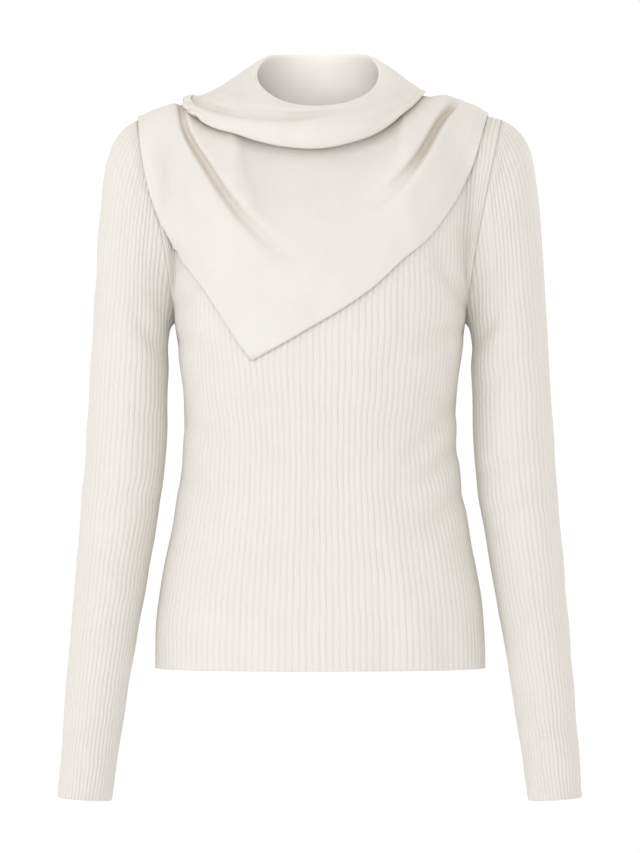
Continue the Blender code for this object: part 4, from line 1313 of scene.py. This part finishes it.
def knit_material(name, wales_per_unit, paint_groove_shade):
    """Wool knit: rows of slanting stitches, loose fibres, a soft nap, random darker patches, and painted
    shade between the stitches, in creases and, where asked for, in the ribs' grooves.
    """
    material = bpy.data.materials.new(name)
    material.use_nodes = True
    nodes = Nodes(material)
    shader = nodes.shader
    shader.inputs["Roughness"].default_value = WOOL_ROUGHNESS
    shader.inputs["Specular IOR Level"].default_value = WOOL_SPECULAR
    shader.inputs["Sheen Weight"].default_value = SHEEN_WEIGHT
    shader.inputs["Sheen Roughness"].default_value = SHEEN_ROUGHNESS
    shader.inputs["Sheen Tint"].default_value = SHEEN_TINT
    knit = nodes.add("ShaderNodeUVMap", uv_map="knit")
    split = nodes.add("ShaderNodeSeparateXYZ")
    nodes.link(knit.outputs["UV"], split.inputs[0])
    place = nodes.add("ShaderNodeTexCoord").outputs["Object"]
    wale = nodes.math("FRACT", nodes.math("MULTIPLY", split.outputs["X"], wales_per_unit))
    from_middle = nodes.math("ABSOLUTE", nodes.math("SUBTRACT", wale, 0.5))
    course = nodes.math("DIVIDE", split.outputs["Y"], STITCH_LENGTH)
    slanted = nodes.math("MULTIPLY_ADD", from_middle, STITCH_SLANT, course)
    wave = nodes.math("SINE", nodes.math("MULTIPLY", slanted, 2.0 * math.pi))
    leg = nodes.math("SINE", nodes.math("MULTIPLY", from_middle, 2.0 * math.pi))
    stitch = nodes.math("MULTIPLY", leg, nodes.math("MULTIPLY_ADD", wave, STITCH_WAVE, 1.0 - STITCH_WAVE))
    fibres = nodes.noise(place, *FIBRE_NOISE)
    height = nodes.math("MULTIPLY_ADD", fibres, FIBRE_SHARE, stitch)
    bump = nodes.add("ShaderNodeBump")
    bump.inputs["Strength"].default_value = BUMP_STRENGTH
    bump.inputs["Distance"].default_value = BUMP_DISTANCE
    nodes.link(height, bump.inputs["Height"])
    nodes.link(bump.outputs["Normal"], shader.inputs["Normal"])
    patches_and_painted_shade = nodes.math("MULTIPLY_ADD", nodes.noise(place, *PATCH_NOISE), *PATCH_SHADE)
    # Painted shade between the stitch legs: darker where the stitch bump is low
    patches_and_painted_shade = nodes.math("ADD", patches_and_painted_shade, nodes.math("MULTIPLY_ADD", stitch, *PAINTED_STITCH_SHADE))
    # Painted crease shade: the wool's colour is darkened where ambient occlusion finds creases and folds
    crease_occlusion = nodes.add("ShaderNodeAmbientOcclusion")
    crease_occlusion.inputs["Distance"].default_value = PAINTED_CREASE_REACH
    depth = PAINTED_CREASE_SHADE[name]
    painted_crease_shade = nodes.math("MULTIPLY_ADD", crease_occlusion.outputs["AO"], -depth, depth)
    patches_and_painted_shade = nodes.math("ADD", patches_and_painted_shade, painted_crease_shade)
    # Painted shade in the ribs' grooves: the colour darkens towards the middle of each groove
    if paint_groove_shade:
        rib = nodes.math("FRACT", split.outputs["X"])
        from_crest = nodes.math("MULTIPLY", nodes.math("ABSOLUTE", nodes.math("SUBTRACT", rib, 0.5)), 2.0)
        painted_groove_shade = nodes.math("POWER", from_crest, PAINTED_GROOVE_NARROWNESS)
        patches_and_painted_shade = nodes.math("MULTIPLY_ADD", painted_groove_shade, PAINTED_GROOVE_SHADE, patches_and_painted_shade)
    # The random patches and the painted shade mix the wool's colour towards its darker one
    clamp = nodes.add("ShaderNodeClamp")
    nodes.link(patches_and_painted_shade, clamp.inputs["Value"])
    colour = nodes.mix_colour(clamp.outputs["Result"], WOOL, WOOL_IN_PATCHES_AND_SHADE)
    nodes.link(colour, shader.inputs["Base Color"])
    return material


# The stage: floor, light and camera, in metres
FLOOR_HEIGHT = -1.35
FLOOR_RADIUS = 3.2
FLOOR_SIDES = 96
FLOOR_COLOUR = (0.92, 0.92, 0.92, 1.0)
FLOOR_ROUGHNESS = 0.9
WORLD_COLOUR = (1.0, 0.990, 0.975, 1.0)
WORLD_STRENGTH = 1.03
LAMP_COLOUR = (0.90, 0.98, 1.10)
KEY_LIGHT = {"place": (-3.0, -2.6, 0.6), "aim": (0.0, 0.0, -0.3), "size": 1.6, "power": 28.0}
FRONT_LIGHT = {"place": (-0.2, -4.2, 0.5), "aim": (0.0, 0.0, -0.2), "size": 2.0, "power": 34.0}
COLLAR_LIGHT = {"place": (0.0, -1.2, 0.9), "aim": (0.0, 0.055, 0.012), "size": 0.02, "power": 46.0}
COLLAR_LIGHT_SPREAD = 5.0
BACK_LIGHT = {"place": (2.4, 2.8, 1.2), "aim": (0.0, 0.0, -0.3), "size": 2.0, "power": 30.0}

# The camera: millimetres to a pixel, the picture's size and where the origin is in it
PIXEL = 0.95
PHOTO_SIZE = (640, 853)
PHOTO_MIDDLE = (320.0, 110.0)
LENS = 300.0
SENSOR = 36.0


def make_floor():
    mesh = bpy.data.meshes.new("pale_floor")
    turns = [2.0 * math.pi * i / FLOOR_SIDES for i in range(FLOOR_SIDES)]
    points = [(FLOOR_RADIUS * math.cos(t), FLOOR_RADIUS * math.sin(t), FLOOR_HEIGHT) for t in turns]
    mesh.from_pydata(points, [], [tuple(range(FLOOR_SIDES))])
    material = bpy.data.materials.new("pale_floor")
    material.use_nodes = True
    shader = material.node_tree.nodes["Principled BSDF"]
    shader.inputs["Base Color"].default_value = FLOOR_COLOUR
    shader.inputs["Roughness"].default_value = FLOOR_ROUGHNESS
    mesh.materials.append(material)
    floor = bpy.data.objects.new("pale_floor", mesh)
    bpy.context.scene.collection.objects.link(floor)


def place_lamp(light, settings):
    light.energy = settings["power"]
    lamp = bpy.data.objects.new(light.name, light)
    lamp.location = settings["place"]
    direction = Vector(settings["aim"]) - lamp.location
    lamp.rotation_euler = direction.to_track_quat("-Z", "Y").to_euler()
    bpy.context.scene.collection.objects.link(lamp)


def make_light(name, settings):
    light = bpy.data.lights.new(name, "AREA")
    light.shape = "DISK"
    light.size = settings["size"]
    light.color = LAMP_COLOUR
    place_lamp(light, settings)


def make_collar_light():
    """A narrow soft beam over the front rim that reaches the inside of the collar's back."""
    light = bpy.data.lights.new("collar_light", "SPOT")
    light.spot_size = math.radians(COLLAR_LIGHT_SPREAD)
    light.spot_blend = 1.0
    light.shadow_soft_size = COLLAR_LIGHT["size"]
    place_lamp(light, COLLAR_LIGHT)


def make_world():
    world = bpy.data.worlds.new("white_studio")
    world.use_nodes = True
    background = world.node_tree.nodes["Background"]
    background.inputs["Color"].default_value = WORLD_COLOUR
    background.inputs["Strength"].default_value = WORLD_STRENGTH
    bpy.context.scene.world = world


def make_camera():
    width, height = PHOTO_SIZE
    camera = bpy.data.cameras.new("photo_camera")
    camera.lens = LENS
    camera.sensor_width = SENSOR
    eye = bpy.data.objects.new("photo_camera", camera)
    middle_x = (width / 2.0 - PHOTO_MIDDLE[0]) * PIXEL * MM
    middle_z = (PHOTO_MIDDLE[1] - height / 2.0) * PIXEL * MM
    distance = height * PIXEL * MM * LENS / SENSOR
    eye.location = (middle_x, -distance, middle_z)
    eye.rotation_euler = (math.pi / 2.0, 0.0, 0.0)
    camera.clip_end = 10.0 * distance
    bpy.context.scene.collection.objects.link(eye)
    bpy.context.scene.camera = eye


def declare(piece, node):
    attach(piece, "root")
    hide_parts(node)


def main():
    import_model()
    make_camera()
    make_world()
    make_light("key_light", KEY_LIGHT)
    make_light("front_light", FRONT_LIGHT)
    make_light("back_light", BACK_LIGHT)
    make_collar_light()
    make_floor()
    rib_knit = knit_material("rib_knit", WALES_PER_RIB, paint_groove_shade=True)
    plain_knit = knit_material("plain_knit", 1.0 / PLAIN_WALE, paint_groove_shade=False)
    front = make_panel("front", rib_knit)
    back = make_panel("back", rib_knit)
    left = make_sleeve("sleeve_left", -1.0, front, back, rib_knit)
    right = make_sleeve("sleeve_right", 1.0, front, back, rib_knit)
    skin = make_skin(
        (front["skin"], False, False), (back["skin"], False, True),
        (left["skin"], True, True), (right["skin"], True, False),
    )
    drape = make_drape(skin, plain_knit)
    collar = make_collar((front, back), make_skin((drape["skin"], True, True)), plain_knit)
    declare(front["piece"], "front")
    declare(back["piece"], "back")
    declare(left["piece"], "sleeve_left")
    declare(right["piece"], "sleeve_right")
    declare(collar, "scarf_collar")
    declare(drape["piece"], "scarf_drape")
    bpy.context.scene.view_settings.view_transform = "Standard"


main()
